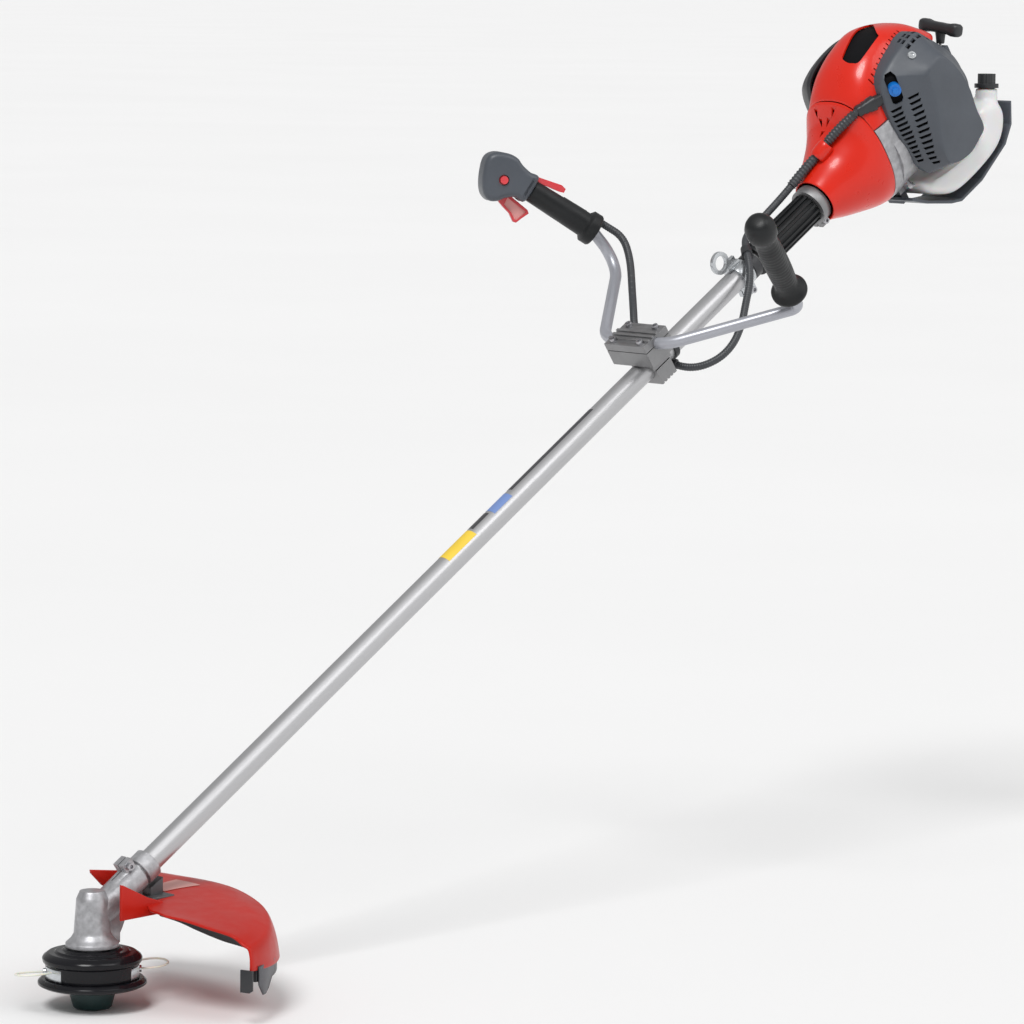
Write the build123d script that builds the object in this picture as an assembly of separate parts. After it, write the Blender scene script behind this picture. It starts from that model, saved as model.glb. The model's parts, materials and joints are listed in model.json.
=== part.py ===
from build123d import *
import os
from math import atan2, cos, degrees, pi, radians, sin, tan

# A straight-shaft two-stroke brush cutter with a line head, in millimetres.
# Frame: the origin is the middle of the tap knob's ground face, +Z is up along
# the head's axis, and +X runs towards the engine. The drive tube rises in the
# XZ plane, and the plain handle is on the -Y side.

# ---- driving dimensions ----
SHAFT_ANGLE = 34.0  # rise of the drive tube over the ground plane, degrees
APEX_Z = 104.5  # where the shaft axis meets the head axis
TUBE_R = 14.0
TUBE_WALL = 1.5
TUBE_START = 42.0
TUBE_END = 1414.0
BAR_R = 7.5  # handlebar tube
BAR_WALL = 1.2
CABLE_R = 5.0
LINE_R = 1.2
FIT = 0.05  # radial running clearance

PINION_TEETH = 15
RING_TEETH = 21
BACKLASH = 0.2  # how far each gear's tips stay below its pitch cone

FLANGE_R = 63.0  # lower flange of the line head
HEAD_TOP = 70.3
BUMP_TRAVEL = 6.0
WINDOW_ANGLES = (149.5, -30.5)  # where the line leaves the head

GUARD_R = 215.0
GUARD_WALL = 3.0

CRANK_THROW = 15.0
ROD_LENGTH = 50.0
BORE_R = 20.0
CYLINDER_U = 1592.0  # station of the cylinder axis along the shaft

TRIGGER_PIVOT = (118.0, 0.0, -18.0)
LOCKOUT_PIVOT = (99.0, 0.0, 14.5)

# handlebar corners in the row frame, from the throttle end to the plain end
BAR_Z = 730.5
BAR_X = 861.0
THROTTLE_TIP = Vector(832, 245, 943)
THROTTLE_BASE = Vector(944, 178, 862)
PLAIN_TIP = Vector(822, -247, 891)
PLAIN_BASE = Vector(949, -180, 798)
BAR_CORNERS = [
    THROTTLE_BASE,
    Vector(982, 164, 815),
    Vector(BAR_X, 62, BAR_Z),
    Vector(BAR_X, -52, BAR_Z),
    Vector(979, -166, 778),
    PLAIN_BASE,
]
BAR_BENDS = [26.0, 40.0, 42.0, 42.0, 9.5, 9.5]
BAR_IN_THROTTLE = 0.72  # share of each grip's length that the tube reaches into
BAR_IN_PLAIN = 0.9

SHAFT = Pos(0, 0, APEX_Z) * Rot(0, -SHAFT_ANGLE, 0)
LOW = (Align.CENTER, Align.CENTER, Align.MIN)


# ---- helpers ----
def rod(start, end, radius):
    """A cylinder between two points."""
    start, end = Vector(start), Vector(end)
    plane = Plane(origin=start, z_dir=end - start)
    return plane * Cylinder(radius, (end - start).length, align=LOW)


def pipe(start, end, outer, inner):
    """A cylinder between two points with a bore right through it."""
    start, end = Vector(start), Vector(end)
    step = (end - start).normalized()
    return rod(start, end, outer) - rod(start - step, end + step, inner)


def along(u0, u1, radius, y=0.0, w=0.0):
    """A cylinder parallel to the local X axis."""
    return rod((u0, y, w), (u1, y, w), radius)


def ring(u0, u1, outer, inner, y=0.0, w=0.0):
    """A ring about a line parallel to the local X axis."""
    return pipe((u0, y, w), (u1, y, w), outer, inner)


def block(x, y, z):
    """A box from its low and high limits on each axis."""
    size = (x[1] - x[0], y[1] - y[0], z[1] - z[0])
    middle = ((x[0] + x[1]) / 2, (y[0] + y[1]) / 2, (z[0] + z[1]) / 2)
    return Pos(*middle) * Box(*size)


def spun_z(outline):
    """A solid of revolution about Z from (radius, height) points."""
    return revolve(Plane.XZ * make_face(Polyline(*outline, close=True)), Axis.Z)


def spun_x(outline):
    """A solid of revolution about X from (station, radius) points."""
    return revolve(make_face(Polyline(*outline, close=True)), Axis.X)


def plate_y(outline, y0, y1):
    """A plate with its outline in the XZ plane, from y0 to y1."""
    face = make_face(Polyline(*outline, close=True))
    return Pos(0, y1, 0) * (Plane.XZ * extrude(face, y1 - y0))


def group(shapes):
    """Separate solids kept together as one node."""
    solids = [solid for shape in shapes for solid in shape.solids()]
    return Compound(solids)


def save(name, shape):
    export_step(shape, f"parts/{name}.step")


def fillet_radii(points):
    """The largest even arcs that a route's runs allow, one for each corner."""
    radii = []
    for before, corner, after in zip(points, points[1:], points[2:]):
        turn = radians((corner - before).get_angle(after - corner))
        run = min((corner - before).length, (after - corner).length)
        radii.append(0.45 * run / tan(turn / 2))
    return radii


def swept(points, radius, radii=None):
    """A round bar along straight runs joined by tangent arcs, and its route."""
    path = FilletPolyline(*points, radius=radii or fillet_radii(points))
    start = Plane(origin=points[0], z_dir=points[1] - points[0])
    return sweep(start * Circle(radius), path=path), path


def to_row(u, y, w):
    """A point given in the shaft's own frame, as a point in the row frame."""
    turn = radians(SHAFT_ANGLE)
    return Vector(u * cos(turn) - w * sin(turn), y, APEX_Z + u * sin(turn) + w * cos(turn))


def on_circle(radius, angle, z=0.0):
    return (radius * cos(radians(angle)), radius * sin(radians(angle)), z)


# ---- fasteners, each a socket screw: head seat, direction of the head, length ----
SHAFT_SCREWS = [
    # gearcase clamp, harness clamp, damper collar
    ((70, -9, 21), (0, -1, 0), 16, 2.5),
    ((1256, -9, -22), (0, -1, 0), 16, 2.5),
    ((1412, -9, -25), (0, -1, 0), 16, 2.5),
    # handlebar clamp, four down through the cap
    ((1048, 24, 48), (0, 0, 1), 30, 2.5),
    ((1048, -24, 48), (0, 0, 1), 30, 2.5),
    ((1080, 24, 48), (0, 0, 1), 30, 2.5),
    ((1080, -24, 48), (0, 0, 1), 30, 2.5),
    # fan housing to clutch housing
    ((1541, -42, -58), (0, -0.5, -0.85), 8, 2.5),
    ((1541, 42, -58), (0, 0.5, -0.85), 8, 2.5),
]


# guard bracket, two up from below, in the row frame
GUARD_SCREWS = [((88, 17, 112), (0, 0, -1), 10, 2.5), ((88, -17, 112), (0, 0, -1), 10, 2.5)]


def screw(seat, toward_head, length, radius, room=0.0):
    """A socket screw, or with room its clearance hole and head space."""
    seat, out = Vector(seat), Vector(toward_head).normalized()
    shank = rod(seat - out * length, seat, radius + room)
    head_r = radius * 1.75 + room
    head = rod(seat, seat + out * (radius * 2 + 20 * room), head_r)
    if room:
        return shank + head
    socket = rod(seat + out * radius, seat + out * (radius * 2 + 1), radius)
    return shank + head - socket


def drilled(shape):
    """The shape with room for every shaft-frame screw that meets it."""
    for spec in SHAFT_SCREWS:
        shape = shape - screw(*spec, room=0.1)
    return shape


def guard_holes():
    holes = [screw(*spec, room=0.1) for spec in GUARD_SCREWS]
    return holes[0] + holes[1]


def socket_screws():
    inline = [SHAFT * screw(*spec) for spec in SHAFT_SCREWS]
    return group(inline + [screw(*spec) for spec in GUARD_SCREWS])


# ---- gearcase and head ----
def gearcase():
    barrel = spun_z(
        [(0, 72.5), (31, 72.5), (31, 76.5), (25, 82), (21.5, 88), (18.5, 128), (14.5, 137), (0, 137)]
    )
    neck = along(0, 78, 18)
    ears = block((63, 78), (-9, 9), (12, 27))
    rib = plate_y([(18, -40), (26, -36), (56, -17), (40, -10), (14, -14)], -3, 3)
    casting = barrel + SHAFT * (neck + ears + rib)
    gear_space = spun_z(
        [(0, 71), (21.5, 71), (21.5, 76.6), (13.02, 76.6), (13.02, 88), (15, 88), (15, 128),
         (9.02, 128), (9.02, 134.6), (0, 134.6)]
    )
    bore = along(2, 38, 12.02) + along(38, 80, TUBE_R + FIT)
    slit = block((46, 80), (-1, 1), (10, 30))
    clamp_hole = screw(*SHAFT_SCREWS[0], room=0.1)
    return casting - gear_space - SHAFT * (bore + slit + clamp_hole)


def ball_bearings():
    upright = [(77, 87, 13.0), (128.4, 134.4, 9.0)]
    inline = [(27, 37, 12.0, 5.0), (1426, 1436, 16.0, 6.0), (1562, 1572, 16.0, 7.5), (1612, 1622, 16.0, 7.5)]
    rings = [pipe((0, 0, low), (0, 0, high), outer, 5.0 + FIT) for low, high, outer in upright]
    rings += [SHAFT * ring(u0, u1, outer, bore + FIT) for u0, u1, outer, bore in inline]
    return group(rings)


PITCH_SUM = 90.0 - SHAFT_ANGLE  # angle between the pinion axis and straight up
RING_CONE = degrees(
    atan2(sin(radians(PITCH_SUM)), PINION_TEETH / RING_TEETH + cos(radians(PITCH_SUM)))
)
PINION_CONE = PITCH_SUM - RING_CONE
CONE_LENGTH = 13.1 / sin(radians(RING_CONE))


def bevel_gear(cone, teeth, hub_length, hub_r, bore):
    """A bevel gear with its apex at the origin and its body along +X."""
    c, s = cos(radians(cone)), sin(radians(cone))
    inner, outer = CONE_LENGTH * 0.7, CONE_LENGTH
    sink = BACKLASH + 1.3  # depth of the tooth roots below the pitch cone

    def at(distance, depth):
        return (distance * c + depth * s, distance * s - depth * c)

    (x0, r0), (x1, r1) = at(inner, sink), at(outer, sink)
    back = max(x0, x1) + hub_length
    blank = spun_x([(x0, bore), (x0, r0), (x1, r1), (back, hub_r), (back, bore)])
    width = 2 * pi * inner * s / teeth * 0.42
    buried = 0.5
    height = sink - BACKLASH + buried
    tooth = Pos((inner + outer) / 2, 0, -BACKLASH - height / 2) * Box(outer - inner, width, height)
    tooth = Rot(0, -cone, 0) * tooth
    for i in range(teeth):
        blank = blank + Rot(360.0 / teeth * i, 0, 0) * tooth
    return blank


def output_shaft():
    shaft = rod((0, 0, 40), (0, 0, 134), 5.0)
    ring_gear = Pos(0, 0, APEX_Z) * Rot(0, -90, 0) * bevel_gear(RING_CONE, RING_TEETH, 1.6, 10.0, 5.02)
    flange = pipe((0, 0, HEAD_TOP + 0.1), (0, 0, 75.5), 20.0, 5.02)
    return group([shaft, ring_gear, flange])


def head_housing():
    body = spun_z(
        [(5.05, 62), (5.05, HEAD_TOP), (33, HEAD_TOP), (35, 68.5), (42, 68.5), (44, 66), (51, 66),
         (56, 62.5), (58, 59.5), (57, 55), (54.5, 52.5), (54.5, 36), (51.5, 36), (51.5, 56), (47, 61.9)]
    )
    for angle in WINDOW_ANGLES:
        body = body - window_sector(angle, 84.0, 50, 56, 37, 51)
    return body


def window_sector(angle, spread, inner, outer, low, high):
    """Part of a ring about Z, centred on an angle."""
    whole = pipe((0, 0, low), (0, 0, high), outer, inner)
    reach = outer * 2
    half = spread / 2
    wedge = Polyline(
        (0, 0), on_circle(reach, angle - half)[:2], on_circle(reach, angle)[:2],
        on_circle(reach, angle + half)[:2], close=True
    )
    return whole & Pos(0, 0, low - 1) * extrude(make_face(wedge), high - low + 2)


def line_eyelets():
    pieces = []
    for angle in WINDOW_ANGLES:
        shell = window_sector(angle, 83.0, 51.8, 54.2, 37.3, 50.7)
        nose = rod(on_circle(52.5, angle, 44), on_circle(57, angle, 44), 4.0)
        hole = rod(on_circle(45, angle, 44), on_circle(60, angle, 44), LINE_R + 0.3)
        pieces.append(shell + nose - hole)
    return group(pieces)


def head_cover():
    return spun_z([(30.5, 25.2), (58, 26.5), (FLANGE_R, 29), (FLANGE_R, 32.5), (59, 35.9), (30.5, 35.9)])


def bump_knob():
    body = spun_z([(0, 0), (20, 0), (22.5, 2), (27.5, 20), (28.5, 23), (28.5, 34), (25, 36), (0, 36)])
    bore = rod((0, 0, 30), (0, 0, 37), 8.0)
    for i in range(12):
        body = body - rod(on_circle(27.5, 30 * i, 3), on_circle(31.5, 30 * i, 24), 3.0)
    return body - bore


def line_spool():
    spool = spun_z(
        [(8, 36.1), (46, 36.1), (46, 38.5), (30, 38.5), (30, 53), (46, 53), (46, 55.4), (8, 55.4)]
    )
    wound = pipe((0, 0, 38.7), (0, 0, 52.8), 42.0, 30.1)
    return group([spool, wound])


# one loop of line beside the head: (outwards, sideways, up) from the head's axis
LINE_LOOP = [
    (57, 0, 44), (69, 0, 44), (82, 5, 44.5), (91, 16, 45.5), (91, 29, 46.8), (82, 37, 47.6), (67, 36, 47.6),
    (50, 24, 47),
]


def nylon_line():
    loops = []
    for angle in WINDOW_ANGLES:
        turned = [Vector(*point).rotate(Axis.Z, angle) for point in LINE_LOOP]
        radii = fillet_radii(turned)
        loop, path = swept(turned, LINE_R, radii)
        print("line radii", [round(r, 1) for r in radii], "length", round(path.length, 1))
        print("line volume / section x length", round(loop.volume / (pi * LINE_R**2 * path.length), 4))
        loops.append(loop)
    return group(loops)


# ---- guard ----
# angle about the head axis (towards -Y), shoulder radius and height, rim foot height
GUARD_STATIONS = [
    (-42, 62, 196, 126, 98), (-20, 62, 200, 122, 68), (0, 62, 201, 119, 62), (18, 62, 201, 115, 62),
    (36, 62, 200, 106, 62), (54, 66, 198, 98, 62), (70, 92, 192, 88, 63),
]


def guard_section(angle, root_r, shoulder_r, shoulder_z, foot_z):
    """A thin closed section of the deflector in the plane at one angle."""
    root_z = 118.0
    crown = ((root_r + shoulder_r) / 2, max(root_z, shoulder_z) * 0.5 + (root_z + shoulder_z) * 0.25 + 1.5)
    outer = [(root_r, root_z), crown, (shoulder_r, shoulder_z), (GUARD_R, foot_z)]
    inner = [(GUARD_R - GUARD_WALL, foot_z), (shoulder_r - 2.2, shoulder_z - 3.0),
             (crown[0], crown[1] - GUARD_WALL), (root_r, root_z - GUARD_WALL)]
    across = (sin(radians(-angle)), -cos(radians(angle)), 0)
    plane = Plane(origin=(0, 0, 0), x_dir=on_circle(1, -angle), z_dir=across)
    edges = [
        ThreePointArc(outer[0], outer[1], outer[2]), Line(outer[2], outer[3]), Line(outer[3], inner[0]),
        Line(inner[0], inner[1]), ThreePointArc(inner[1], inner[2], inner[3]), Line(inner[3], outer[0]),
    ]
    return plane * make_face(edges)


def guard_shell():
    deck = loft([guard_section(*station) for station in GUARD_STATIONS], ruled=True)
    saddle = block((56, 116), (-30, 30), (112, 118.5))
    near_lip = Pos(0, -30, 0) * plate_y([(33, 104), (33, 144), (36, 144), (104, 116), (104, 112)], -3, 0)
    far_lip = Pos(0, 33, 0) * plate_y([(33, 108), (33, 144), (36, 144), (104, 116), (104, 112)], -3, 0)
    cross = block((33, 36), (-33, -22), (104, 144)) + block((33, 36), (22, 33), (108, 144))
    floor = block((33, 64), (-33, -24), (104, 107)) + block((33, 64), (24, 33), (108, 111))
    shell = deck + saddle + near_lip + far_lip + cross + floor
    tube_space = SHAFT * along(40, 140, 19.5)
    pad_space = block((71.5, 104.5), (-22.5, 22.5), (118.6, 150))
    return shell - tube_space - pad_space - guard_holes()


def guard_skirt():
    """The dark strip that carries the rim further down."""
    return window_sector(-25.5, 81.0, GUARD_R - GUARD_WALL - 3, GUARD_R - 1.5, 47, 61.8)


def line_knife():
    """The blade that trims the line, with its carrier at the guard's near end."""
    spot = 72.0
    carrier = window_sector(-spot, 7.0, GUARD_R - 14, GUARD_R - 3.6, 44, 62.4)
    blade = Rot(0, 0, -spot - 5) * block((GUARD_R - 24, GUARD_R - 3), (-1, 1), (34, 58))
    return group([carrier, blade])


def guard_bracket():
    pad = block((72, 104), (-22, 22), (118.7, 123)) + block((76, 100), (-11, 11), (122, 160))
    above = block((20, 160), (-40, 40), (-4, 60)) - along(82, 100, 19)
    tube_space = along(60, 140, TUBE_R + FIT) + along(0, 78.4, 18.5)
    slit = block((81, 101), (-1, 1), (10, 20))
    body = SHAFT * along(82, 100, 19) + pad
    return body - SHAFT * (above + tube_space + slit) - guard_holes()


# ---- shaft and drive ----
def drive_tube():
    return SHAFT * ring(TUBE_START, TUBE_END, TUBE_R, TUBE_R - TUBE_WALL)


def tube_bushes():
    stations = [150, 400, 650, 900, 1150, 1370]
    return group([SHAFT * ring(u, u + 10, TUBE_R - TUBE_WALL - FIT, 4.0 + FIT) for u in stations])


def drive_shaft():
    pinion = bevel_gear(PINION_CONE, PINION_TEETH, 2.6, 7.0, 5.02)
    stem = along(17, 40, 5.0) + along(40, 1424, 4.0)
    return group([SHAFT * pinion, SHAFT * stem])


def clutch_drum():
    hub = ring(1422, 1456, 6.0, 4.02)
    cup = spun_x([(1455, 4.02), (1455, 38), (1484, 38), (1484, 36), (1458, 36), (1458, 4.02)])
    return SHAFT * (hub + cup)


# ---- handlebar, in the row frame ----
def bar_route():
    throttle_end = THROTTLE_BASE + (THROTTLE_TIP - THROTTLE_BASE) * BAR_IN_THROTTLE
    plain_end = PLAIN_BASE + (PLAIN_TIP - PLAIN_BASE) * BAR_IN_PLAIN
    return [throttle_end] + BAR_CORNERS + [plain_end]


def handlebar():
    outer, _ = swept(bar_route(), BAR_R, BAR_BENDS)
    inner, _ = swept(bar_route(), BAR_R - BAR_WALL, BAR_BENDS)
    return outer - inner


BAR_U = (BAR_X * cos(radians(SHAFT_ANGLE)) + (BAR_Z - APEX_Z) * sin(radians(SHAFT_ANGLE)))
BAR_W = (BAR_Z - APEX_Z) * cos(radians(SHAFT_ANGLE)) - BAR_X * sin(radians(SHAFT_ANGLE))


def bar_hole():
    return rod((BAR_U, -60, BAR_W), (BAR_U, 60, BAR_W), BAR_R + FIT)


def handlebar_base():
    body = block((1041, 1087), (-36, 36), (16, BAR_W - 0.5))
    foot = block((1052, 1087), (-19, 19), (0.5, 16))
    body = body + foot - along(1030, 1100, TUBE_R + FIT) - bar_hole()
    return SHAFT * drilled(body)


def handlebar_cap():
    body = block((1041, 1087), (-36, 36), (BAR_W + 0.5, 48))
    ribs = [block((1043 + 8 * i, 1047 + 8 * i), (-36, 36), (48, 50.5)) for i in (1, 2, 3)]
    for rib in ribs:
        body = body + rib
    return SHAFT * drilled(body - bar_hole())


def handlebar_tube_clamp():
    body = block((1055, 1084), (-20, 20), (-22, -0.5)) - along(1030, 1100, TUBE_R + FIT)
    for i in range(4):
        body = body - block((1059 + 6 * i, 1061 + 6 * i), (-21, 21), (-23, -20))
    return SHAFT * body


# frames of the two grips: X runs from the base to the tip, Z away from the fingers
def grip_plane(base, tip):
    axis = (tip - base).normalized()
    up = (Vector(0, 0, 1) - axis * axis.Z).normalized()
    return Plane(origin=base, x_dir=axis, z_dir=up)


PLAIN = grip_plane(PLAIN_BASE, PLAIN_TIP)
THROTTLE = grip_plane(THROTTLE_BASE, THROTTLE_TIP)
PLAIN_LENGTH = (PLAIN_TIP - PLAIN_BASE).length + 6.0


def left_grip():
    end = PLAIN_LENGTH
    outline = [
        (2, 0), (2, 20), (5, 23), (11, 23), (15, 17), (24, 14.5), (end - 36, 16), (end - 30, 18.5),
        (end - 12, 18.5), (end - 3, 14), (end, 7), (end, 0),
    ]
    hole = along(0, (PLAIN_TIP - PLAIN_BASE).length * BAR_IN_PLAIN + 0.5, BAR_R + 0.1)
    return PLAIN * (spun_x(outline) - hole)


def bar_socket():
    return along(-5, (THROTTLE_TIP - THROTTLE_BASE).length * BAR_IN_THROTTLE + 0.5, BAR_R + 0.1)


def throttle_grip():
    body = spun_x([(-8, 0), (-8, 20), (-6, 21.5), (5, 21.5), (9, 16.5), (91.7, 15), (91.7, 0)])
    cable_exit = rod((-9, 0, 13), (16, 0, 13), CABLE_R + 0.3)
    mouth = along(-9, 1, 12.5) + along(0, 9, BAR_R + 1.5)  # room for the tube's bend
    lever_slot = block((50, 92), (-6, 6), (8.5, 30))
    return THROTTLE * (body - bar_socket() - mouth - cable_exit - lever_slot)


# profile of the throttle head along the grip: its end slants down past the trigger
HEAD_PROFILE = [
    (94, -17.6), (94, 17.6), (108, 18), (121, 20), (129, 25.5), (144, 24), (162, 17), (167, 3),
    (157, -23), (146, -37), (134, -42), (125, -37), (119, -27), (108, -19),
]
HEAD_HALF = 21.0


def throttle_body():
    outer = plate_y(HEAD_PROFILE, -HEAD_HALF, HEAD_HALF)
    outer = fillet(outer.faces().filter_by(Axis.Y).edges(), 5.5)
    hollow = offset(make_face(Polyline(*HEAD_PROFILE, close=True)), -2.8)
    inner = Pos(0, HEAD_HALF - 2.8, 0) * (Plane.XZ * extrude(hollow, 2 * HEAD_HALF - 5.6))
    throat = along(91, 97, 15.1)
    slot = block((84, 127), (-5.2, 5.2), (-48, -12))
    lever_slot = block((90, 106), (-6.2, 6.2), (8.5, 34))
    button_hole = rod((133, 15, -9), (133, 25, -9), 5.4)
    bulkhead = outer & ring(97.2, 100, 40, BAR_R + 0.1)
    shell = outer - inner - throat + bulkhead
    return shell - bar_socket() - slot - lever_slot - button_hole


def throttle_half(side):
    keep = block((80, 170), (0.02, 40) if side > 0 else (-40, -0.02), (-45, 45))
    return THROTTLE * (throttle_body() & keep)


def throttle_trigger():
    x, _, z = TRIGGER_PIVOT
    outline = [
        (x + 5, z + 4), (124, -33), (112, -37), (92, -47), (88, -45), (86, -26), (108, -21), (112, z + 4),
    ]
    lever = plate_y(outline, -4, 4)
    pin = rod((x, -9, z), (x, 9, z), 2.0)
    return THROTTLE * (lever + pin)


def throttle_lockout():
    outline = [(103, 12), (103, 17), (85, 21), (62, 26.5), (55, 25), (54.5, 19.5), (60, 17.5), (93, 12.5)]
    x, _, z = LOCKOUT_PIVOT
    return THROTTLE * (plate_y(outline, -5, 5) + rod((x, -6, z), (x, 6, z), 1.5))


def stop_switch():
    return THROTTLE * (rod((133, 16, -9), (133, 24, -9), 5.0) + rod((133, 15, -9), (133, 17, -9), 6.5))


# ---- throttle cable, one conduit from the grip to the carburettor bracket ----
CABLE_ROUTE = [
    THROTTLE.from_local_coords(Vector(1, 0, 13)), THROTTLE.from_local_coords(Vector(-15, 0, 13)),
    Vector(974, 147, 851), Vector(966, 125, 823), Vector(938, 92, 788), Vector(908, 58, 766),
    Vector(892, 39, 741), to_row(1096, 32, -1),
    to_row(1101, 10, -26), to_row(1108, -20, -37), to_row(1130, -42, -39), to_row(1160, -47, -37),
    to_row(1190, -43, -27), to_row(1216, -36, -13), to_row(1242, -31, 3), to_row(1262, -21, 19),
    to_row(1281, -2, 27), to_row(1303, 15, 27), to_row(1335, 19, 25.5), to_row(1370, 19, 27),
    to_row(1400, 15, 32), to_row(1424, 7, 41), to_row(1446, -4, 50), to_row(1468, -14, 61),
    to_row(1491, -31, 73), to_row(1511, -49, 83),
]


def throttle_cable(radius=CABLE_R, talk=True):
    radii = fillet_radii(CABLE_ROUTE)
    body, path = swept(CABLE_ROUTE, radius, radii)
    if talk:
        print("cable radii", [round(r) for r in radii], "length", round(path.length))
        print("cable volume / section x length", round(body.volume / (pi * radius**2 * path.length), 4))
    return body


def cable_clips():
    """Two clips on the tube and collar, and the boot that ends the conduit."""
    clearance = throttle_cable(CABLE_R + 0.15, talk=False)
    rear = ring(1268, 1282, 17.5, TUBE_R + FIT) + block((1269, 1281), (-16, 6), (14, 31))
    rear = rear - along(1260, 1290, TUBE_R + FIT)
    front = ring(1098, 1106, 17, TUBE_R + FIT) + block((1098, 1106), (-6, 18), (-33, -15))
    front = front - along(1090, 1110, TUBE_R + FIT)
    boot = block((1512, 1536), (-66, -52), (74, 92))
    return group([SHAFT * rear - clearance, SHAFT * front - clearance, SHAFT * boot - clearance])


# ---- harness, damper ----
def harness_clamp():
    body = ring(1246, 1266, 18, TUBE_R + FIT)
    ears = block((1247, 1265), (-8, 8), (-28, -16)) - along(1240, 1270, TUBE_R + FIT)
    seat = block((1240, 1262), (-3.2, 3.2), (15, 22)) - along(1230, 1270, TUBE_R + FIT)
    slit = block((1240, 1270), (-1, 1), (-30, -10))
    return SHAFT * drilled(body + ears + seat - slit)


RING_STATION = (1234.0, 35.0)
RING_HOLE_R = 9.5


def harness_ring():
    u, w = RING_STATION
    eye = rod((u, -2.5, w), (u, 2.5, w), 14.8)
    foot = block((u + 2, 1258), (-2.5, 2.5), (22.2, 30))
    seat_space = block((1239, 1263), (-4, 4), (10, 22.2))
    return SHAFT * (eye + foot - seat_space - rod((u, -4, w), (u, 4, w), RING_HOLE_R))


def vibration_damper():
    body = ring(1286, 1402, 18.6, TUBE_R + FIT) + ring(1286, 1294, 21, TUBE_R + FIT)
    for i in range(16):
        body = body + Rot(360 / 16 * i, 0, 0) * block((1292, 1402), (-1.6, 1.6), (17, 21.6))
    return SHAFT * body


def damper_collar():
    body = ring(1403, 1417.5, 26, TUBE_R + FIT)
    ears = block((1406, 1417.5), (-8, 8), (-32, -20)) - along(1400, 1420, TUBE_R + FIT)
    slit = block((1400, 1420), (-1, 1), (-34, -10))
    return SHAFT * drilled(body + ears - slit)


# ---- engine shells ----
# station, half width, lowest and highest point, corner radius
COVER_STATIONS = [
    (1418, 28, -28, 28, 27.5), (1445, 41, -41, 41, 40), (1466, 50, -50, 50, 48), (1490, 58, -59, 64, 50),
    (1505, 60, -63, 88, 50), (1525, 61, -66, 112, 46), (1545, 61, -60, 125, 42), (1575, 60, -60, 134, 42),
    (1612, 59, -60, 137, 42), (1655, 57, -60, 117, 46), (1692, 52, -60, 82, 44),
]
SHELL = 3.0
PARTING_W = 78.0


def cover_section(station, inset, shift=0.0):
    u, half, low, high, corner = station
    width, height = 2 * (half - inset), high - low - 2 * inset
    plane = Plane(origin=(u + shift, 0, (low + high) / 2), x_dir=(0, 1, 0), z_dir=(1, 0, 0))
    return plane * RectangleRounded(width, height, min(corner - inset, width / 2 - 0.2, height / 2 - 0.2))


def cover_loft(first, last, inset=0.0):
    stations = COVER_STATIONS[first:last]
    sections = [cover_section(s, inset) for s in stations]
    if inset:
        sections[0] = cover_section(stations[0], inset, -1.0)
        sections[-1] = cover_section(stations[-1], inset, 1.0)
    return loft(sections, ruled=True)


def clutch_housing():
    shell = cover_loft(0, 6) - cover_loft(0, 6, SHELL)
    shell = shell & block((1400, 1524.8), (-90, 90), (-90, PARTING_W))
    shell = shell - block((1495, 1540), (-70, -50.8), (72, 94))
    seat = spun_x([(1418.5, 15), (1418.5, 26.5), (1428, 31), (1437, 35), (1437, 15)])
    body = SHAFT * (shell + seat - along(1415, 1440, 16.0 + FIT))
    return body - throttle_cable(CABLE_R + 0.3, talk=False)


def engine_shroud():
    shell = cover_loft(3, 11) - cover_loft(3, 11, SHELL)
    upper = block((1495, 1700), (-90, 90), (PARTING_W + 0.4, 160))
    window = block((1562, 1630), (-17, 17), (100, 160))
    plug_gap = block((1500, 1700), (-90, 90), (0, PARTING_W))
    boot_gap = block((1495, 1540), (-70, -50.8), (72, 94))
    body = SHAFT * ((shell & upper) - window - plug_gap - boot_gap)
    return body - throttle_cable(CABLE_R + 0.3, talk=False)


def vent_grille():
    frame = block((1562.4, 1629.6), (-16.6, 16.6), (126, 130)) - block((1566, 1626), (-13, 13), (120, 140))
    for i in range(7):
        frame = frame + block((1566 + 8.4 * i, 1569 + 8.4 * i), (-14, 14), (126, 129.5))
    return SHAFT * frame


def shell_between(base, face, y0, y1, wall):
    """A dish-shaped cover between a base outline and a smaller outer face."""

    def solid(inset, start, stop):
        outlines = []
        for outline, y in ((base, start), (face, stop)):
            middle_u = sum(p[0] for p in outline) / len(outline)
            middle_w = sum(p[1] for p in outline) / len(outline)
            points = []
            for u, w in outline:
                du, dw = u - middle_u, w - middle_w
                reach = (du**2 + dw**2) ** 0.5
                scale = (reach - inset) / reach
                points.append((middle_u + du * scale, y, middle_w + dw * scale))
            outlines.append(make_face(Polyline(*points, close=True)))
        return loft(outlines, ruled=True)

    step = (y1 - y0) / abs(y1 - y0)
    return solid(0, y0, y1) - solid(wall, y0 - step, y1 - step * wall)


FILTER_BASE = [
    (1618, 124), (1568, 113), (1544, 92), (1536, 38), (1550, -45), (1572, -60), (1640, -64), (1679, -46),
    (1685, 30), (1650, 100),
]
FILTER_FACE = [
    (1612, 92), (1602, 88), (1599, 72), (1590, 42), (1568, -36), (1584, -47), (1634, -47), (1652, -25),
    (1656, 30), (1634, 80),
]
FILTER_Y = (-66.5, -105.0)


def facet_point(t, along_w):
    """A point on the filter cover's slanted front facet: t from its front edge inwards."""
    y = FILTER_Y[0] + (FILTER_Y[1] - FILTER_Y[0]) * t
    return (1543 + 52 * t, y, along_w)


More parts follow.
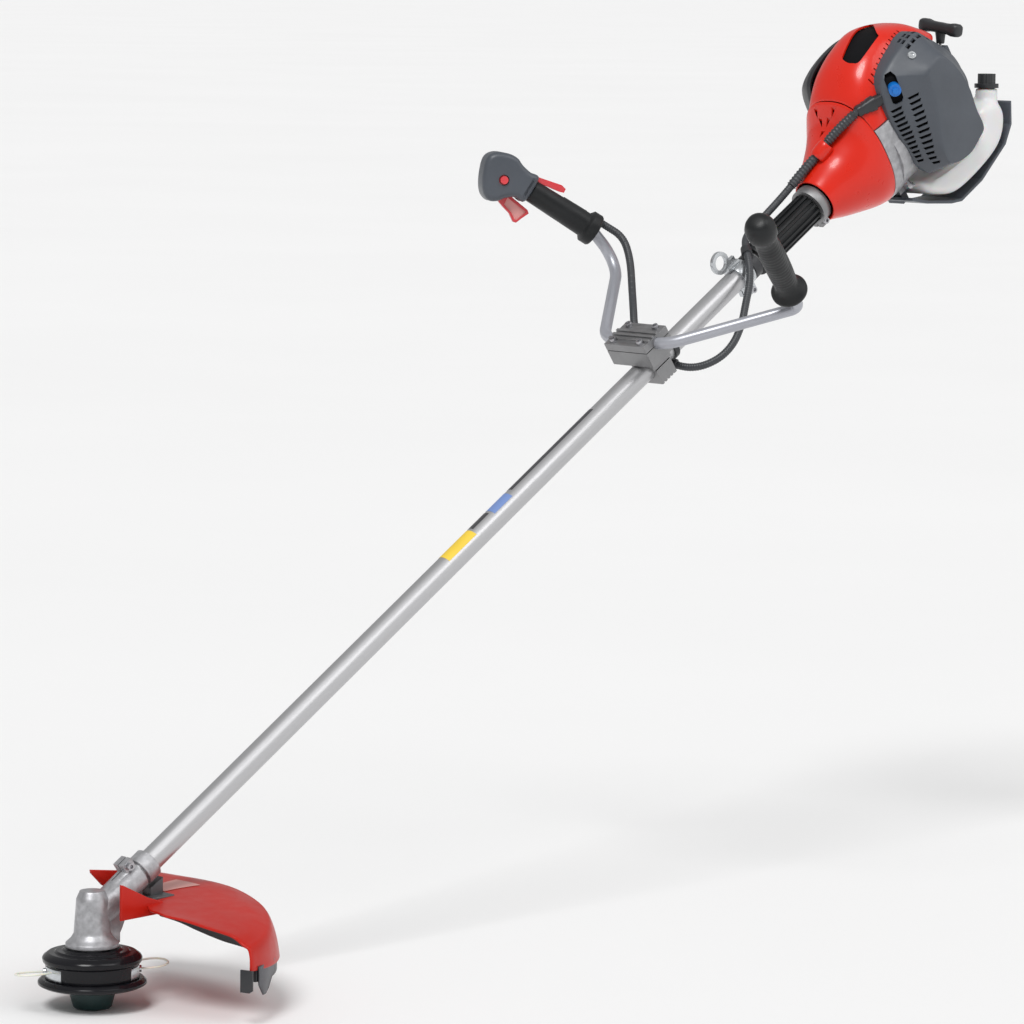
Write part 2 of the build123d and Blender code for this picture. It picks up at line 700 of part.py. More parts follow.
def filter_cover():
    shell = shell_between(FILTER_BASE, FILTER_FACE, *FILTER_Y, 3.0)
    for column in (0.30, 0.58):
        for i in range(9):
            u, y, w = facet_point(column, 48 - 10.5 * i)
            u -= 0.3 * (column * 20 + i * 2.2)
            slot = Pos(u, y, w) * Rot(0, 0, -41) * Rot(0, 20, 0) * Box(40, 9.5, 3.4)
            shell = shell - slot
    knob_hole = rod(facet_point(0.22, 85), Vector(*facet_point(0.22, 85)) + KNOB_AXIS * 20, 10.5)
    inward = rod(facet_point(0.22, 85), Vector(*facet_point(0.22, 85)) - KNOB_AXIS * 16, 10.5)
    return SHAFT * (shell - knob_hole - inward)


KNOB_AXIS = Vector(-0.63, -0.77, 0.1).normalized()


def choke_knob():
    base = Vector(*facet_point(0.22, 85))
    knob = rod(base - KNOB_AXIS * 5, base + KNOB_AXIS * 9, 8.0)
    stem = rod(base - KNOB_AXIS * 8, base - KNOB_AXIS * 5, 3.0)
    grip = rod(base + KNOB_AXIS * 9, base + KNOB_AXIS * 13, 4.0)
    return SHAFT * (knob + stem + grip)


MUFFLER_BASE = [
    (1656, 104), (1604, 116), (1550, 106), (1534, 88), (1530, 38), (1542, -20), (1572, -44), (1640, -44),
    (1680, -10), (1686, 58),
]
MUFFLER_FACE = [
    (1645, 84), (1604, 94), (1562, 86), (1550, 72), (1548, 36), (1558, -8), (1580, -26), (1632, -26),
    (1662, 0), (1666, 50),
]


def muffler_cover():
    shell = shell_between(MUFFLER_BASE, MUFFLER_FACE, 66.5, 98.0, 3.0)
    for i in range(6):
        shell = shell - block((1570 + 12 * i, 1576 + 12 * i), (90, 100), (5, 60))
    return SHAFT * shell


# ---- engine internals ----
def crankcase():
    fan_ring = ring(1525.4, 1558, 65.5, 60.5)
    back = ring(1554, 1558, 65, 16.0 + FIT)
    case = block((1558, 1626), (-34, 34), (-34, 29.8))
    chamber = along(1574, 1610, 24.5)
    seats = along(1561, 1575, 16.0 + FIT) + along(1609, 1623, 16.0 + FIT)
    bore = along(1550, 1630, 8.2) + rod((CYLINDER_U, 0, 0), (CYLINDER_U, 0, 31), 20.6)
    rod_space = along(1586, 1598, 29) + block((1586, 1598), (-24.6, 24.6), (0, 31))
    tank_lug = block((1542, 1554), (-14, 14), (-78, -62))
    body = fan_ring + back + case + tank_lug - chamber - seats - bore - rod_space
    return SHAFT * drilled(body - along(1526, 1554, 60.5))


def crankshaft():
    front = along(1486, 1586, 7.5) + along(1578, 1586, 22) + along(1586, 1587.2, 6, w=CRANK_THROW)
    rear = along(1598, 1652, 7.5) + along(1598, 1606, 22) + along(1596.8, 1598, 6, w=CRANK_THROW)
    nose = along(1462, 1486, 5.0)
    return group([SHAFT * (front + nose), SHAFT * rear])


def flywheel():
    disc = ring(1534, 1540, 56, 7.52) + ring(1530, 1550, 13, 7.52)
    for i in range(18):
        disc = disc + Rot(20 * i, 0, 0) * block((1529, 1536), (-1.2, 1.2), (24, 55))
    magnet = block((1540, 1546), (-9, 9), (44, 55))
    return SHAFT * (disc + magnet)


def clutch_shoes():
    hub = ring(1462, 1478, 10, 5.02)
    shoes = []
    rim = ring(1462, 1478, 34.5, 24)
    shoes.append(rim & block((1460, 1480), (-40, 40), (3, 40)))
    shoes.append(rim & block((1460, 1480), (-40, 40), (-40, -3)))
    springs = [block((1467, 1473), (-26, -24.2), (-2.9, 2.9)), block((1467, 1473), (24.2, 26), (-2.9, 2.9))]
    return group([SHAFT * piece for piece in [hub] + shoes + springs])


def connecting_rod():
    top = CRANK_THROW + ROD_LENGTH
    big = rod((CYLINDER_U - 4, 0, CRANK_THROW), (CYLINDER_U + 4, 0, CRANK_THROW), 9)
    small = rod((CYLINDER_U - 4, 0, top), (CYLINDER_U + 4, 0, top), 8)
    beam = block((CYLINDER_U - 3, CYLINDER_U + 3), (-5, 5), (CRANK_THROW, top))
    eyes = rod((CYLINDER_U - 5, 0, CRANK_THROW), (CYLINDER_U + 5, 0, CRANK_THROW), 6.4)
    eyes = eyes + rod((CYLINDER_U - 5, 0, top), (CYLINDER_U + 5, 0, top), 4.0 + FIT)
    return SHAFT * (big + small + beam - eyes)


def piston():
    top = CRANK_THROW + ROD_LENGTH
    radius = BORE_R - FIT
    body = rod((CYLINDER_U, 0, top - 11), (CYLINDER_U, 0, top + 14), radius)
    hollow = rod((CYLINDER_U, 0, top - 12), (CYLINDER_U, 0, top + 10), 16)
    pin_hole = rod((CYLINDER_U - 25, 0, top), (CYLINDER_U + 25, 0, top), 4.02)
    pin = rod((CYLINDER_U - 17, 0, top), (CYLINDER_U + 17, 0, top), 4.0)
    return group([SHAFT * (body - hollow - pin_hole), SHAFT * pin])


def cylinder():
    barrel = rod((CYLINDER_U, 0, 30), (CYLINDER_U, 0, 98), 25)
    base = block((CYLINDER_U - 30, CYLINDER_U + 30), (-28, 28), (30, 35))
    for i in range(9):
        fin = block((CYLINDER_U - 33, CYLINDER_U + 33), (-36, 36), (42 + 6.2 * i, 44 + 6.2 * i))
        barrel = barrel + fin
    bore = rod((CYLINDER_U, 0, 29), (CYLINDER_U, 0, 83), BORE_R)
    plug_hole = rod((CYLINDER_U, 0, 82), (CYLINDER_U, 0, 99), 7.05)
    return SHAFT * (barrel + base - bore - plug_hole)


def spark_plug():
    thread = rod((CYLINDER_U, 0, 84), (CYLINDER_U, 0, 98.1), 7.0)
    hex_nut = rod((CYLINDER_U, 0, 98.1), (CYLINDER_U, 0, 106), 9.0)
    boot = rod((CYLINDER_U, 0, 106), (CYLINDER_U, 0, 124), 7.0)
    return SHAFT * (thread + hex_nut + boot)


def ignition_coil():
    return SHAFT * block((1561, 1576), (-15, 15), (100, 118))


def carburettor():
    body = block((1576, 1608), (-60, -38), (40, 68))
    throat = rod((CYLINDER_U, -62, 54), (CYLINDER_U, -36, 54), 8.0)
    return SHAFT * (body - throat)


def air_filter():
    return SHAFT * (block((1580, 1640), (-88, -63), (0, 72)) - block((1586, 1634), (-90, -68), (6, 66)))


def muffler():
    box = block((1560, 1626), (38, 84), (-2, 78))
    inside = block((1562, 1624), (40, 82), (0, 76))
    inlet = rod((CYLINDER_U, 36.2, 60), (CYLINDER_U, 41, 60), 8.0)
    return SHAFT * (box - inside - inlet)


# ---- starter and tank ----
ROPE_EXIT = Vector(1702.5, -20, 46)
HANDLE = Vector(1718, -20, 69)
HANDLE_TILT = 7.0
UP_LOCAL = Vector(sin(radians(SHAFT_ANGLE)), 0, cos(radians(SHAFT_ANGLE)))
REEL_R = 28.0


def starter_housing():
    shell = spun_x(
        [(1628, 49), (1628, 52), (1690, 52), (1704, 44), (1704, 0), (1700, 0), (1700, 42), (1688, 49)]
    )
    tower = block((1690, 1708), (-30, -10), (24, 47)) - along(1600, 1700, 42)
    eyelet = rod(ROPE_EXIT - UP_LOCAL * 40, ROPE_EXIT + UP_LOCAL * 10, 3.4)
    spindle = along(1672, 1701, 5.0)
    return SHAFT * (shell + tower - eyelet + spindle)


def starter_reel():
    return SHAFT * spun_x(
        [(1658, 9), (1658, 32), (1661, 32), (1661, REEL_R), (1667, REEL_R), (1667, 32), (1670, 32),
         (1670, 14), (1674, 14), (1674, 8), (1690, 8), (1690, 5.05), (1664, 5.05), (1664, 9)]
    )


def starter_handle():
    across = (Vector(0, -cos(radians(HANDLE_TILT)), 0) - UP_LOCAL * sin(radians(HANDLE_TILT))).normalized()
    bar = rod(HANDLE - across * 28, HANDLE + across * 28, 7.5)
    bar = bar + rod(HANDLE - across * 34, HANDLE + across * 34, 6.5)
    stem = rod(HANDLE - UP_LOCAL * 21, HANDLE, 6.5)
    return SHAFT * (bar + stem)


def starter_rope():
    return SHAFT * rod(HANDLE - UP_LOCAL * 42, HANDLE - UP_LOCAL * 21, 2.0)


TANK_OUTLINE = [
    (1560, -67), (1600, -74), (1648, -78), (1680, -70), (1698, -52), (1725, -50), (1737, -70), (1729, -92),
    (1704, -111), (1660, -118), (1606, -116), (1575, -99), (1558, -82),
]
TANK_Y = (-54.0, 34.0)
NECK_TOP = Vector(1738.5, -32, -43)  # the neck rises plumb, as the handle's rope does


def fuel_tank():
    outer = plate_y(TANK_OUTLINE, *TANK_Y)
    outer = fillet(outer.faces().filter_by(Axis.Y).edges(), 7)
    face = make_face(Polyline(*TANK_OUTLINE, close=True))
    inner = Pos(0, TANK_Y[1] - 3, 0) * (Plane.XZ * extrude(offset(face, -3), TANK_Y[1] - TANK_Y[0] - 6))
    neck = rod(NECK_TOP - UP_LOCAL * 30, NECK_TOP, 14.8)
    mouth = rod(NECK_TOP - UP_LOCAL * 40, NECK_TOP + UP_LOCAL, 11.0)
    return SHAFT * (outer + neck - inner - mouth)


def fuel_cap():
    plug = rod(NECK_TOP - UP_LOCAL * 12, NECK_TOP + UP_LOCAL * 0.3, 10.7)
    flange = rod(NECK_TOP + UP_LOCAL * 0.3, NECK_TOP + UP_LOCAL * 6, 16)
    knob = rod(NECK_TOP + UP_LOCAL * 6, NECK_TOP + UP_LOCAL * 19, 11.8)
    sideways = Vector(0, 1, 0)
    forward = sideways.cross(UP_LOCAL)
    for i in range(10):
        x, y, _ = on_circle(13.2, 36 * i)
        foot = NECK_TOP + forward * x + sideways * y
        knob = knob - rod(foot + UP_LOCAL * 6, foot + UP_LOCAL * 20, 2.0)
    return SHAFT * (plug + flange + knob)


GUARD_OUTER = [
    (1530, -77), (1552, -97), (1590, -124), (1608, -133), (1655, -133), (1682, -127), (1718, -119),
    (1742, -103), (1758, -76),
]
GUARD_INNER = [
    (1754, -76), (1739, -100.5), (1716, -115.2), (1681, -123), (1654, -129), (1609, -129), (1592.5, -120.6),
    (1555, -94), (1534, -75),
]


def tank_guard():
    plate = plate_y(GUARD_OUTER + GUARD_INNER, -46, 28)
    tab = block((1542, 1554), (-14, 14), (-92, -78.3))
    return SHAFT * (plate + tab)


# ---- every node ----
NODES = {
    "gearcase": gearcase, "ball_bearings": ball_bearings, "output_shaft": output_shaft,
    "head_housing": head_housing, "head_cover": head_cover, "line_eyelets": line_eyelets,
    "line_spool": line_spool, "bump_knob": bump_knob, "nylon_line": nylon_line,
    "guard_shell": guard_shell, "guard_skirt": guard_skirt, "guard_bracket": guard_bracket,
    "line_knife": line_knife, "drive_tube": drive_tube, "tube_bushes": tube_bushes,
    "drive_shaft": drive_shaft, "harness_clamp": harness_clamp, "harness_ring": harness_ring,
    "handlebar": handlebar, "handlebar_base": handlebar_base, "handlebar_cap": handlebar_cap,
    "handlebar_tube_clamp": handlebar_tube_clamp, "left_grip": left_grip, "throttle_grip": throttle_grip,
    "throttle_shell_front": lambda: throttle_half(1), "throttle_shell_rear": lambda: throttle_half(-1),
    "throttle_trigger": throttle_trigger, "throttle_lockout": throttle_lockout, "stop_switch": stop_switch,
    "throttle_cable": throttle_cable, "cable_clips": cable_clips, "vibration_damper": vibration_damper,
    "damper_collar": damper_collar, "clutch_housing": clutch_housing, "clutch_drum": clutch_drum,
    "clutch_shoes": clutch_shoes, "crankcase": crankcase, "crankshaft": crankshaft,
    "connecting_rod": connecting_rod, "piston": piston, "cylinder": cylinder, "flywheel": flywheel,
    "spark_plug": spark_plug, "ignition_coil": ignition_coil, "carburettor": carburettor,
    "air_filter": air_filter, "choke_knob": choke_knob, "muffler": muffler,
    "engine_shroud": engine_shroud, "vent_grille": vent_grille, "filter_cover": filter_cover,
    "muffler_cover": muffler_cover, "starter_housing": starter_housing, "starter_reel": starter_reel,
    "starter_rope": starter_rope, "starter_handle": starter_handle, "fuel_tank": fuel_tank,
    "fuel_cap": fuel_cap, "tank_guard": tank_guard, "socket_screws": socket_screws,
}

os.makedirs("parts", exist_ok=True)
for name, make in NODES.items():
    save(name, make())
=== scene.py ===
import json
import math
from contextlib import contextmanager

import bmesh
import bpy
from mathutils import Matrix, Vector
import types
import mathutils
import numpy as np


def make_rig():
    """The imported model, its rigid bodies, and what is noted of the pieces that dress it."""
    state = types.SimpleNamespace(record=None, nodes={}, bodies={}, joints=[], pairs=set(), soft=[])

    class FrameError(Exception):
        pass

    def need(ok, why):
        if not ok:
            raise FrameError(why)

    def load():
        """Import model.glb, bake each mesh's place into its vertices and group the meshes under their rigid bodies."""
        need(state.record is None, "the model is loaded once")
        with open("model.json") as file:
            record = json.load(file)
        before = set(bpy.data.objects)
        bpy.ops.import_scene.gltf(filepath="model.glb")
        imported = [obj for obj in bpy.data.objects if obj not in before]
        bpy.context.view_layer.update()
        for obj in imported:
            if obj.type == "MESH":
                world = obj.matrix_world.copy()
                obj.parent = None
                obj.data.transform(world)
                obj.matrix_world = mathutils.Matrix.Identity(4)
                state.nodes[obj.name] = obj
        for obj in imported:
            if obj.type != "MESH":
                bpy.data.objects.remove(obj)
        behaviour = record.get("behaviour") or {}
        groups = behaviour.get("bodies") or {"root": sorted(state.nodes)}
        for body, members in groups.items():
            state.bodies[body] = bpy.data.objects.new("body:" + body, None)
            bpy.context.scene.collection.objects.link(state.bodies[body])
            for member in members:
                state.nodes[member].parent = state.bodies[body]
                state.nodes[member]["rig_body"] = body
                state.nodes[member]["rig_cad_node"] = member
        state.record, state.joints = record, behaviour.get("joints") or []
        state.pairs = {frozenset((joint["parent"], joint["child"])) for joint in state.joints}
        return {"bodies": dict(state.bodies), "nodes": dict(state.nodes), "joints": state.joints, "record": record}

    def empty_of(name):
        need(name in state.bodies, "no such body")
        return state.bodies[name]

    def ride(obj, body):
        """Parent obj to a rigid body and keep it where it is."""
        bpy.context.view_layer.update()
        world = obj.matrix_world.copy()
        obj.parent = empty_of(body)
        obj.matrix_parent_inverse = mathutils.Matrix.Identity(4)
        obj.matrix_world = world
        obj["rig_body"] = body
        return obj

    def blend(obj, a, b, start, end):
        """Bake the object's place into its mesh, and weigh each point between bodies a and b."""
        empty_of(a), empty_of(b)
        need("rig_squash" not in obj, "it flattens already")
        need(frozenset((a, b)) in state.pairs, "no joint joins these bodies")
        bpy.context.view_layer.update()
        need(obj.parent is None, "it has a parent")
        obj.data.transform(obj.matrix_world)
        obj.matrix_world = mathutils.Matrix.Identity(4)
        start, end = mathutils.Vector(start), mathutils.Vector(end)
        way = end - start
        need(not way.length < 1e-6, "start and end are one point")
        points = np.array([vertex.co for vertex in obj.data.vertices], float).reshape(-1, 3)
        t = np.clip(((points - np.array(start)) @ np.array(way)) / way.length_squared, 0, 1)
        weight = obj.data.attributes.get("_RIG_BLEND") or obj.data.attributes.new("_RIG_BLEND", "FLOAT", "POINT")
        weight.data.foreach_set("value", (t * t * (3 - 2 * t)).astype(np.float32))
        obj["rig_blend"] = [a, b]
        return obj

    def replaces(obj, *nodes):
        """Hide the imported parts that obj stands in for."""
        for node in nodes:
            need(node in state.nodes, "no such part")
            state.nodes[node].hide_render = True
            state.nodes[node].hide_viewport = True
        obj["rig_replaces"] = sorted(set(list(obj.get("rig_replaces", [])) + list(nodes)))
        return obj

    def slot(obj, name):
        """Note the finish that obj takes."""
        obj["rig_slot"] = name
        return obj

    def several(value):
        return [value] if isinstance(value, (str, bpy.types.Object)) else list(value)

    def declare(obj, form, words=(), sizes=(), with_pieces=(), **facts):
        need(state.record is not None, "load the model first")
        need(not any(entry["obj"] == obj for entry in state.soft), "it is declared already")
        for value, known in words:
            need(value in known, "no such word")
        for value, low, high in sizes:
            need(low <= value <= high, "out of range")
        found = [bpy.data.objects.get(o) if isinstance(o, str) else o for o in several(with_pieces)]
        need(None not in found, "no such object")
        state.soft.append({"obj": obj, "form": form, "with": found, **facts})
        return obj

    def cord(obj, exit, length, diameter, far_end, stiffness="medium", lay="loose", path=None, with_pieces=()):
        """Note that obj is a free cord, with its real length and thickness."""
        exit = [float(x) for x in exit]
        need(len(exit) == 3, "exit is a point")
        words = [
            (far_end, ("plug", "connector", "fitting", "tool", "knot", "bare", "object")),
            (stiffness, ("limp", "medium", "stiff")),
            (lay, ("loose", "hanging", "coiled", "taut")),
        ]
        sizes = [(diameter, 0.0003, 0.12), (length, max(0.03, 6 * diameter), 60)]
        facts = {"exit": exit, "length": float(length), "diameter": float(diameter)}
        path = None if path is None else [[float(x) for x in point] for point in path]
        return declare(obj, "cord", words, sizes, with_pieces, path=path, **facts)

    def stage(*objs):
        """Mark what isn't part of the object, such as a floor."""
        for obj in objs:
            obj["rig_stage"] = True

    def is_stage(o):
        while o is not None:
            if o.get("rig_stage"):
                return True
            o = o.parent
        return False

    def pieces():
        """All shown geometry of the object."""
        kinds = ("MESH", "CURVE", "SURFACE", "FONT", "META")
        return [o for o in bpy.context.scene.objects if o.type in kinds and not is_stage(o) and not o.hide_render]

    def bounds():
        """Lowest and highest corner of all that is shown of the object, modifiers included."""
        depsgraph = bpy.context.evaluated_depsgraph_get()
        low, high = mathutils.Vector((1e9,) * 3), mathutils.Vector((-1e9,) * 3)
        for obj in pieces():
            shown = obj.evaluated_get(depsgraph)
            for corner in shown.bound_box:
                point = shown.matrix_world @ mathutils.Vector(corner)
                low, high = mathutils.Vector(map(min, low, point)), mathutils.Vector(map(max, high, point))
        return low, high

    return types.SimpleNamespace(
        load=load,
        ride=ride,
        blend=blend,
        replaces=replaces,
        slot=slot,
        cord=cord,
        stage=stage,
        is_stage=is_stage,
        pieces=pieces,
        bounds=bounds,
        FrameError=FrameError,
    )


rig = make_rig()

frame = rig.load()
cad_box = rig.bounds()

# ---- the shaft's own frame: u along the drive tube, y across, w up from it ----
SHAFT_ANGLE = math.radians(34.0)
APEX_Z = 0.1045
COS_S, SIN_S = math.cos(SHAFT_ANGLE), math.sin(SHAFT_ANGLE)


def from_shaft(u, y, w):
    """A point in the shaft's frame, in millimetres, as a row-frame point in metres."""
    u, y, w = u / 1000, y / 1000, w / 1000
    return Vector((u * COS_S - w * SIN_S, y, APEX_Z + u * SIN_S + w * COS_S))


def local(co):
    """A row-frame point, in metres, in the shaft's own frame in millimetres."""
    x, z = co.x * 1000, co.z * 1000 - APEX_Z * 1000
    return x * COS_S + z * SIN_S, co.y * 1000, -x * SIN_S + z * COS_S


def round_head(angle, radius, z):
    """A point about the head's axis: degrees from +X towards -Y, then millimetres."""
    turn = math.radians(-angle)
    return Vector((radius * math.cos(turn), radius * math.sin(turn), z)) / 1000


def turns_of(count):
    """Evenly spaced angles once round."""
    return [2 * math.pi * k / count for k in range(count)]


def squared(turn, power):
    """An angle's cosine and sine, swollen towards a square's corners by a power below 1."""
    return [math.copysign(abs(v) ** power, v) for v in (math.cos(turn), math.sin(turn))]


ALONG_SHAFT = from_shaft(1, 0, 0) - from_shaft(0, 0, 0)
UP_SHAFT = from_shaft(0, 0, 1) - from_shaft(0, 0, 0)


# ---- procedural finishes ----
def lighter(color, share):
    return (*[min(1.0, c * (1 + share)) for c in color], 1.0)


class Nodes:
    """Short calls for building a node material."""

    def __init__(self, name):
        self.mat = bpy.data.materials.new(name)
        self.mat.use_nodes = True
        self.tree = self.mat.node_tree
        self.shader = self.tree.nodes["Principled BSDF"]

    def add(self, kind, **values):
        node = self.tree.nodes.new(kind)
        for key, value in values.items():
            setattr(node, key, value)
        return node

    def link(self, source, target):
        self.tree.links.new(source, target)

    def coords(self, stretch=(1.0, 1.0, 1.0), along_shaft=False):
        """Object coordinates, in metres, stretched along the shaft's or the row's axes."""
        place = self.add("ShaderNodeTexCoord")
        mapping = self.add("ShaderNodeMapping", vector_type="TEXTURE")
        mapping.inputs["Scale"].default_value = stretch
        if along_shaft:
            mapping.inputs["Rotation"].default_value = (0.0, -SHAFT_ANGLE, 0.0)
        self.link(place.outputs["Object"], mapping.inputs["Vector"])
        return mapping.outputs["Vector"]

    def noise(self, vector, size, detail=4.0, roughness=0.55):
        node = self.add("ShaderNodeTexNoise")
        node.inputs["Scale"].default_value = 1.0 / size
        node.inputs["Detail"].default_value = detail
        node.inputs["Roughness"].default_value = roughness
        self.link(vector, node.inputs["Vector"])
        return node.outputs["Fac"]

    def spread(self, value, low, high, from_low=0.3, from_high=0.7):
        node = self.add("ShaderNodeMapRange")
        for key, number in (("From Min", from_low), ("From Max", from_high), ("To Min", low), ("To Max", high)):
            node.inputs[key].default_value = number
        self.link(value, node.inputs["Value"])
        return node.outputs["Result"]

    def mixed(self, share, a, b):
        """Two colours, or colour outputs, mixed by a value."""
        node = self.add("ShaderNodeMix", data_type="RGBA")
        self.link(share, node.inputs[0])
        for socket, color in ((node.inputs[6], a), (node.inputs[7], b)):
            if isinstance(color, bpy.types.NodeSocket):
                self.link(color, socket)
            else:
                socket.default_value = (*color[:3], 1.0)
        return node.outputs[2]

    def bump(self, height, strength, distance):
        """A height output into the normal; distance is in metres."""
        node = self.add("ShaderNodeBump")
        node.inputs["Strength"].default_value = strength
        node.inputs["Distance"].default_value = distance
        self.link(height, node.inputs["Height"])
        self.link(node.outputs["Normal"], self.shader.inputs["Normal"])


WEAR_SIZE = 0.011  # metres, of the rubbed marks
GLOSS_SIZE = 0.02  # metres, of the duller and glossier places


def finish_of(name, color, rough, metal=0.0, drift=0.08, drift_size=0.06, uneven=0.06, grain=0.15,
              grain_size=0.0012, grain_depth=0.0002, stretch=(1.0, 1.0, 1.0), along_shaft=False, wear=0.0,
              wear_color=(0.6, 0.6, 0.6), **shader):
    """A finish with slow colour drift, uneven gloss, a fine surface grain and light rubbed marks."""
    n = Nodes(name)
    place = n.coords(stretch, along_shaft)
    drift_by = n.spread(n.noise(place, drift_size), 0.0, 1.0)
    base = n.mixed(drift_by, lighter(color, -drift), lighter(color, drift))
    if wear:
        marks = n.spread(n.noise(place, WEAR_SIZE, 9.0, 0.7), 0.0, wear, 0.60, 0.74)
        base = n.mixed(marks, base, wear_color)
    n.link(base, n.shader.inputs["Base Color"])
    gloss = n.spread(n.noise(place, GLOSS_SIZE, 5.0), max(0.02, rough - uneven), rough + uneven)
    n.link(gloss, n.shader.inputs["Roughness"])
    n.bump(n.noise(place, grain_size, 3.0), grain, grain_depth)
    n.shader.inputs["Metallic"].default_value = metal
    for key, value in shader.items():
        n.shader.inputs[key.replace("_", " ")].default_value = value
    return n.mat


# name: colour, roughness, metallic and what differs from finish_of's own values
FINISHES = {
    "tube_silver": ((0.5, 0.5, 0.51), 0.36, 0.8, dict(
        drift=0.05, drift_size=0.03, grain=0.25, grain_size=0.0009, grain_depth=0.0001,
        stretch=(30.0, 1.0, 1.0), along_shaft=True, wear=0.25, wear_color=(0.3, 0.3, 0.31))),
    "bar_paint": ((0.4, 0.41, 0.45), 0.36, 0.45, dict(drift=0.05, grain=0.1, Coat_Weight=0.2, Coat_Roughness=0.25)),
    "cast_alloy": ((0.41, 0.41, 0.425), 0.42, 0.65, dict(
        drift=0.2, drift_size=0.008, uneven=0.1, grain=0.5, grain_size=0.0016, grain_depth=0.0003, wear=0.35,
        wear_color=(0.2, 0.2, 0.205))),
    "steel": ((0.46, 0.46, 0.48), 0.3, 1.0, dict(drift=0.08, grain=0.2, grain_size=0.0006)),
    "zinc": ((0.56, 0.58, 0.6), 0.24, 0.9, dict(
        drift=0.16, drift_size=0.015, grain=0.15, wear=0.2, wear_color=(0.34, 0.34, 0.33))),
    "black_plastic": ((0.022, 0.023, 0.026), 0.42, 0.0, dict(
        drift=0.2, grain=0.35, grain_size=0.0007, wear=0.05, wear_color=(0.12, 0.12, 0.13))),
    "head_black": ((0.008, 0.008, 0.01), 0.22, 0.0, dict(
        drift=0.2, grain=0.12, wear=0.05, wear_color=(0.1, 0.1, 0.11), Coat_Weight=0.1, Coat_Roughness=0.12,
        Specular_IOR_Level=0.2)),
    "grey_plastic": ((0.064, 0.073, 0.088), 0.4, 0.0, dict(
        drift=0.1, grain=0.4, grain_size=0.0008, wear=0.05, wear_color=(0.2, 0.21, 0.23))),
    "orange_red": ((0.66, 0.016, 0.004), 0.3, 0.0, dict(
        drift=0.05, drift_size=0.12, uneven=0.04, grain=0.1, grain_size=0.02, grain_depth=0.0002,
        Coat_Weight=0.25, Coat_Roughness=0.1, Specular_IOR_Level=0.35)),
    "guard_red": ((0.46, 0.013, 0.006), 0.34, 0.0, dict(
        drift=0.06, drift_size=0.08, grain=0.12, grain_size=0.02, grain_depth=0.0003, Specular_IOR_Level=0.25)),
    "tank_white": ((0.8, 0.8, 0.8), 0.36, 0.0, dict(
        drift=0.03, grain=0.12, Subsurface_Weight=0.35, Subsurface_Scale=0.02, Transmission_Weight=0.12)),
    "knob_green": ((0.008, 0.03, 0.03), 0.34, 0.0, dict(
        drift=0.2, grain=0.25, wear=0.06, wear_color=(0.06, 0.12, 0.12))),
    "blue_plastic": ((0.005, 0.15, 0.52), 0.32, 0.0, dict(drift=0.08, grain=0.05)),
    "red_trim": ((0.62, 0.04, 0.05), 0.32, 0.0, dict(drift=0.08, grain=0.15, Coat_Weight=0.3)),
    "rubber_black": ((0.011, 0.012, 0.013), 0.4, 0.0, dict(
        drift=0.2, grain=0.6, grain_size=0.0009, uneven=0.1, Specular_IOR_Level=0.3)),
    "nylon_white": ((0.8, 0.8, 0.7), 0.35, 0.0, dict(
        drift=0.05, grain=0.2, Subsurface_Weight=0.2, Subsurface_Scale=0.002)),
    "rope_white": ((0.78, 0.78, 0.76), 0.7, 0.0, dict(drift=0.08, grain=0.5)),
    "bronze": ((0.36, 0.22, 0.1), 0.35, 1.0, dict(drift=0.1, grain=0.2)),
    "filter_foam": ((0.06, 0.06, 0.065), 0.85, 0.0, dict(drift=0.2, grain=0.9, grain_size=0.0015)),
    "conduit_black": ((0.04, 0.043, 0.048), 0.4, 0.0, dict(
        drift=0.15, grain=0.3, grain_size=0.0008, wear=0.05, wear_color=(0.12, 0.12, 0.13))),
    "dark_steel": ((0.1, 0.1, 0.11), 0.35, 0.8, dict(
        drift=0.2, drift_size=0.01, grain=0.3, wear=0.3, wear_color=(0.3, 0.3, 0.3))),
    "pale_trim": ((0.75, 0.34, 0.32), 0.4, 0.0, dict(drift=0.06, grain=0.15)),
    # deep black for the window's tray, and painted shade on the sheet behind the filter cover's slots
    "dark_lining": ((0.006, 0.006, 0.007), 0.85, 0.0, dict(
        drift=0.2, grain=0.5, grain_size=0.0015, Specular_IOR_Level=0.12)),
    # painted shade: the cast alloy darkened for the bracket's block and pad, in the well where they sit
    "bracket_gray": ((0.11, 0.11, 0.115), 0.45, 0.6, dict(
        drift=0.12, drift_size=0.02, uneven=0.1, grain=0.4, wear=0.2, wear_color=(0.3, 0.3, 0.3))),
    # painted highlight: the pale pink where the guard deck's flat raised part catches the light
    "label_pale": ((0.62, 0.3, 0.27), 0.45, 0.0, dict(drift=0.04, grain=0.1)),
    "label_yellow": ((0.8, 0.56, 0.05), 0.45, 0.0, dict(drift=0.04, grain=0.1)),
    "label_blue": ((0.16, 0.25, 0.52), 0.45, 0.0, dict(drift=0.04, grain=0.1)),
    "label_dark": ((0.05, 0.05, 0.055), 0.45, 0.0, dict(drift=0.06, grain=0.1)),
    "clamp_gray": ((0.27, 0.27, 0.275), 0.4, 0.7, dict(
        drift=0.12, drift_size=0.02, uneven=0.1, grain=0.5, grain_size=0.0014, grain_depth=0.0003, wear=0.3,
        wear_color=(0.42, 0.42, 0.42))),
}
finishes = {name: finish_of(name, *values, **others) for name, (*values, others) in FINISHES.items()}

slot_of = {s["node"]: s["material_slot"] for s in frame["record"]["subparts"]}
for node, obj in frame["nodes"].items():
    obj.data.materials.clear()
    look = "bar_paint" if node == "handlebar" else slot_of[node]
    if node in ("handlebar_base", "handlebar_cap", "handlebar_tube_clamp", "damper_collar"):
        look = "clamp_gray"
    obj.data.materials.append(finishes[look])

# ---- mesh helpers ----
MERGE = 0.00001  # metres, the distance at which points are one


def place(data, name):
    """Puts a mesh, curve, light or camera into the scene as an object."""
    obj = bpy.data.objects.new(name, data)
    bpy.context.scene.collection.objects.link(obj)
    return obj


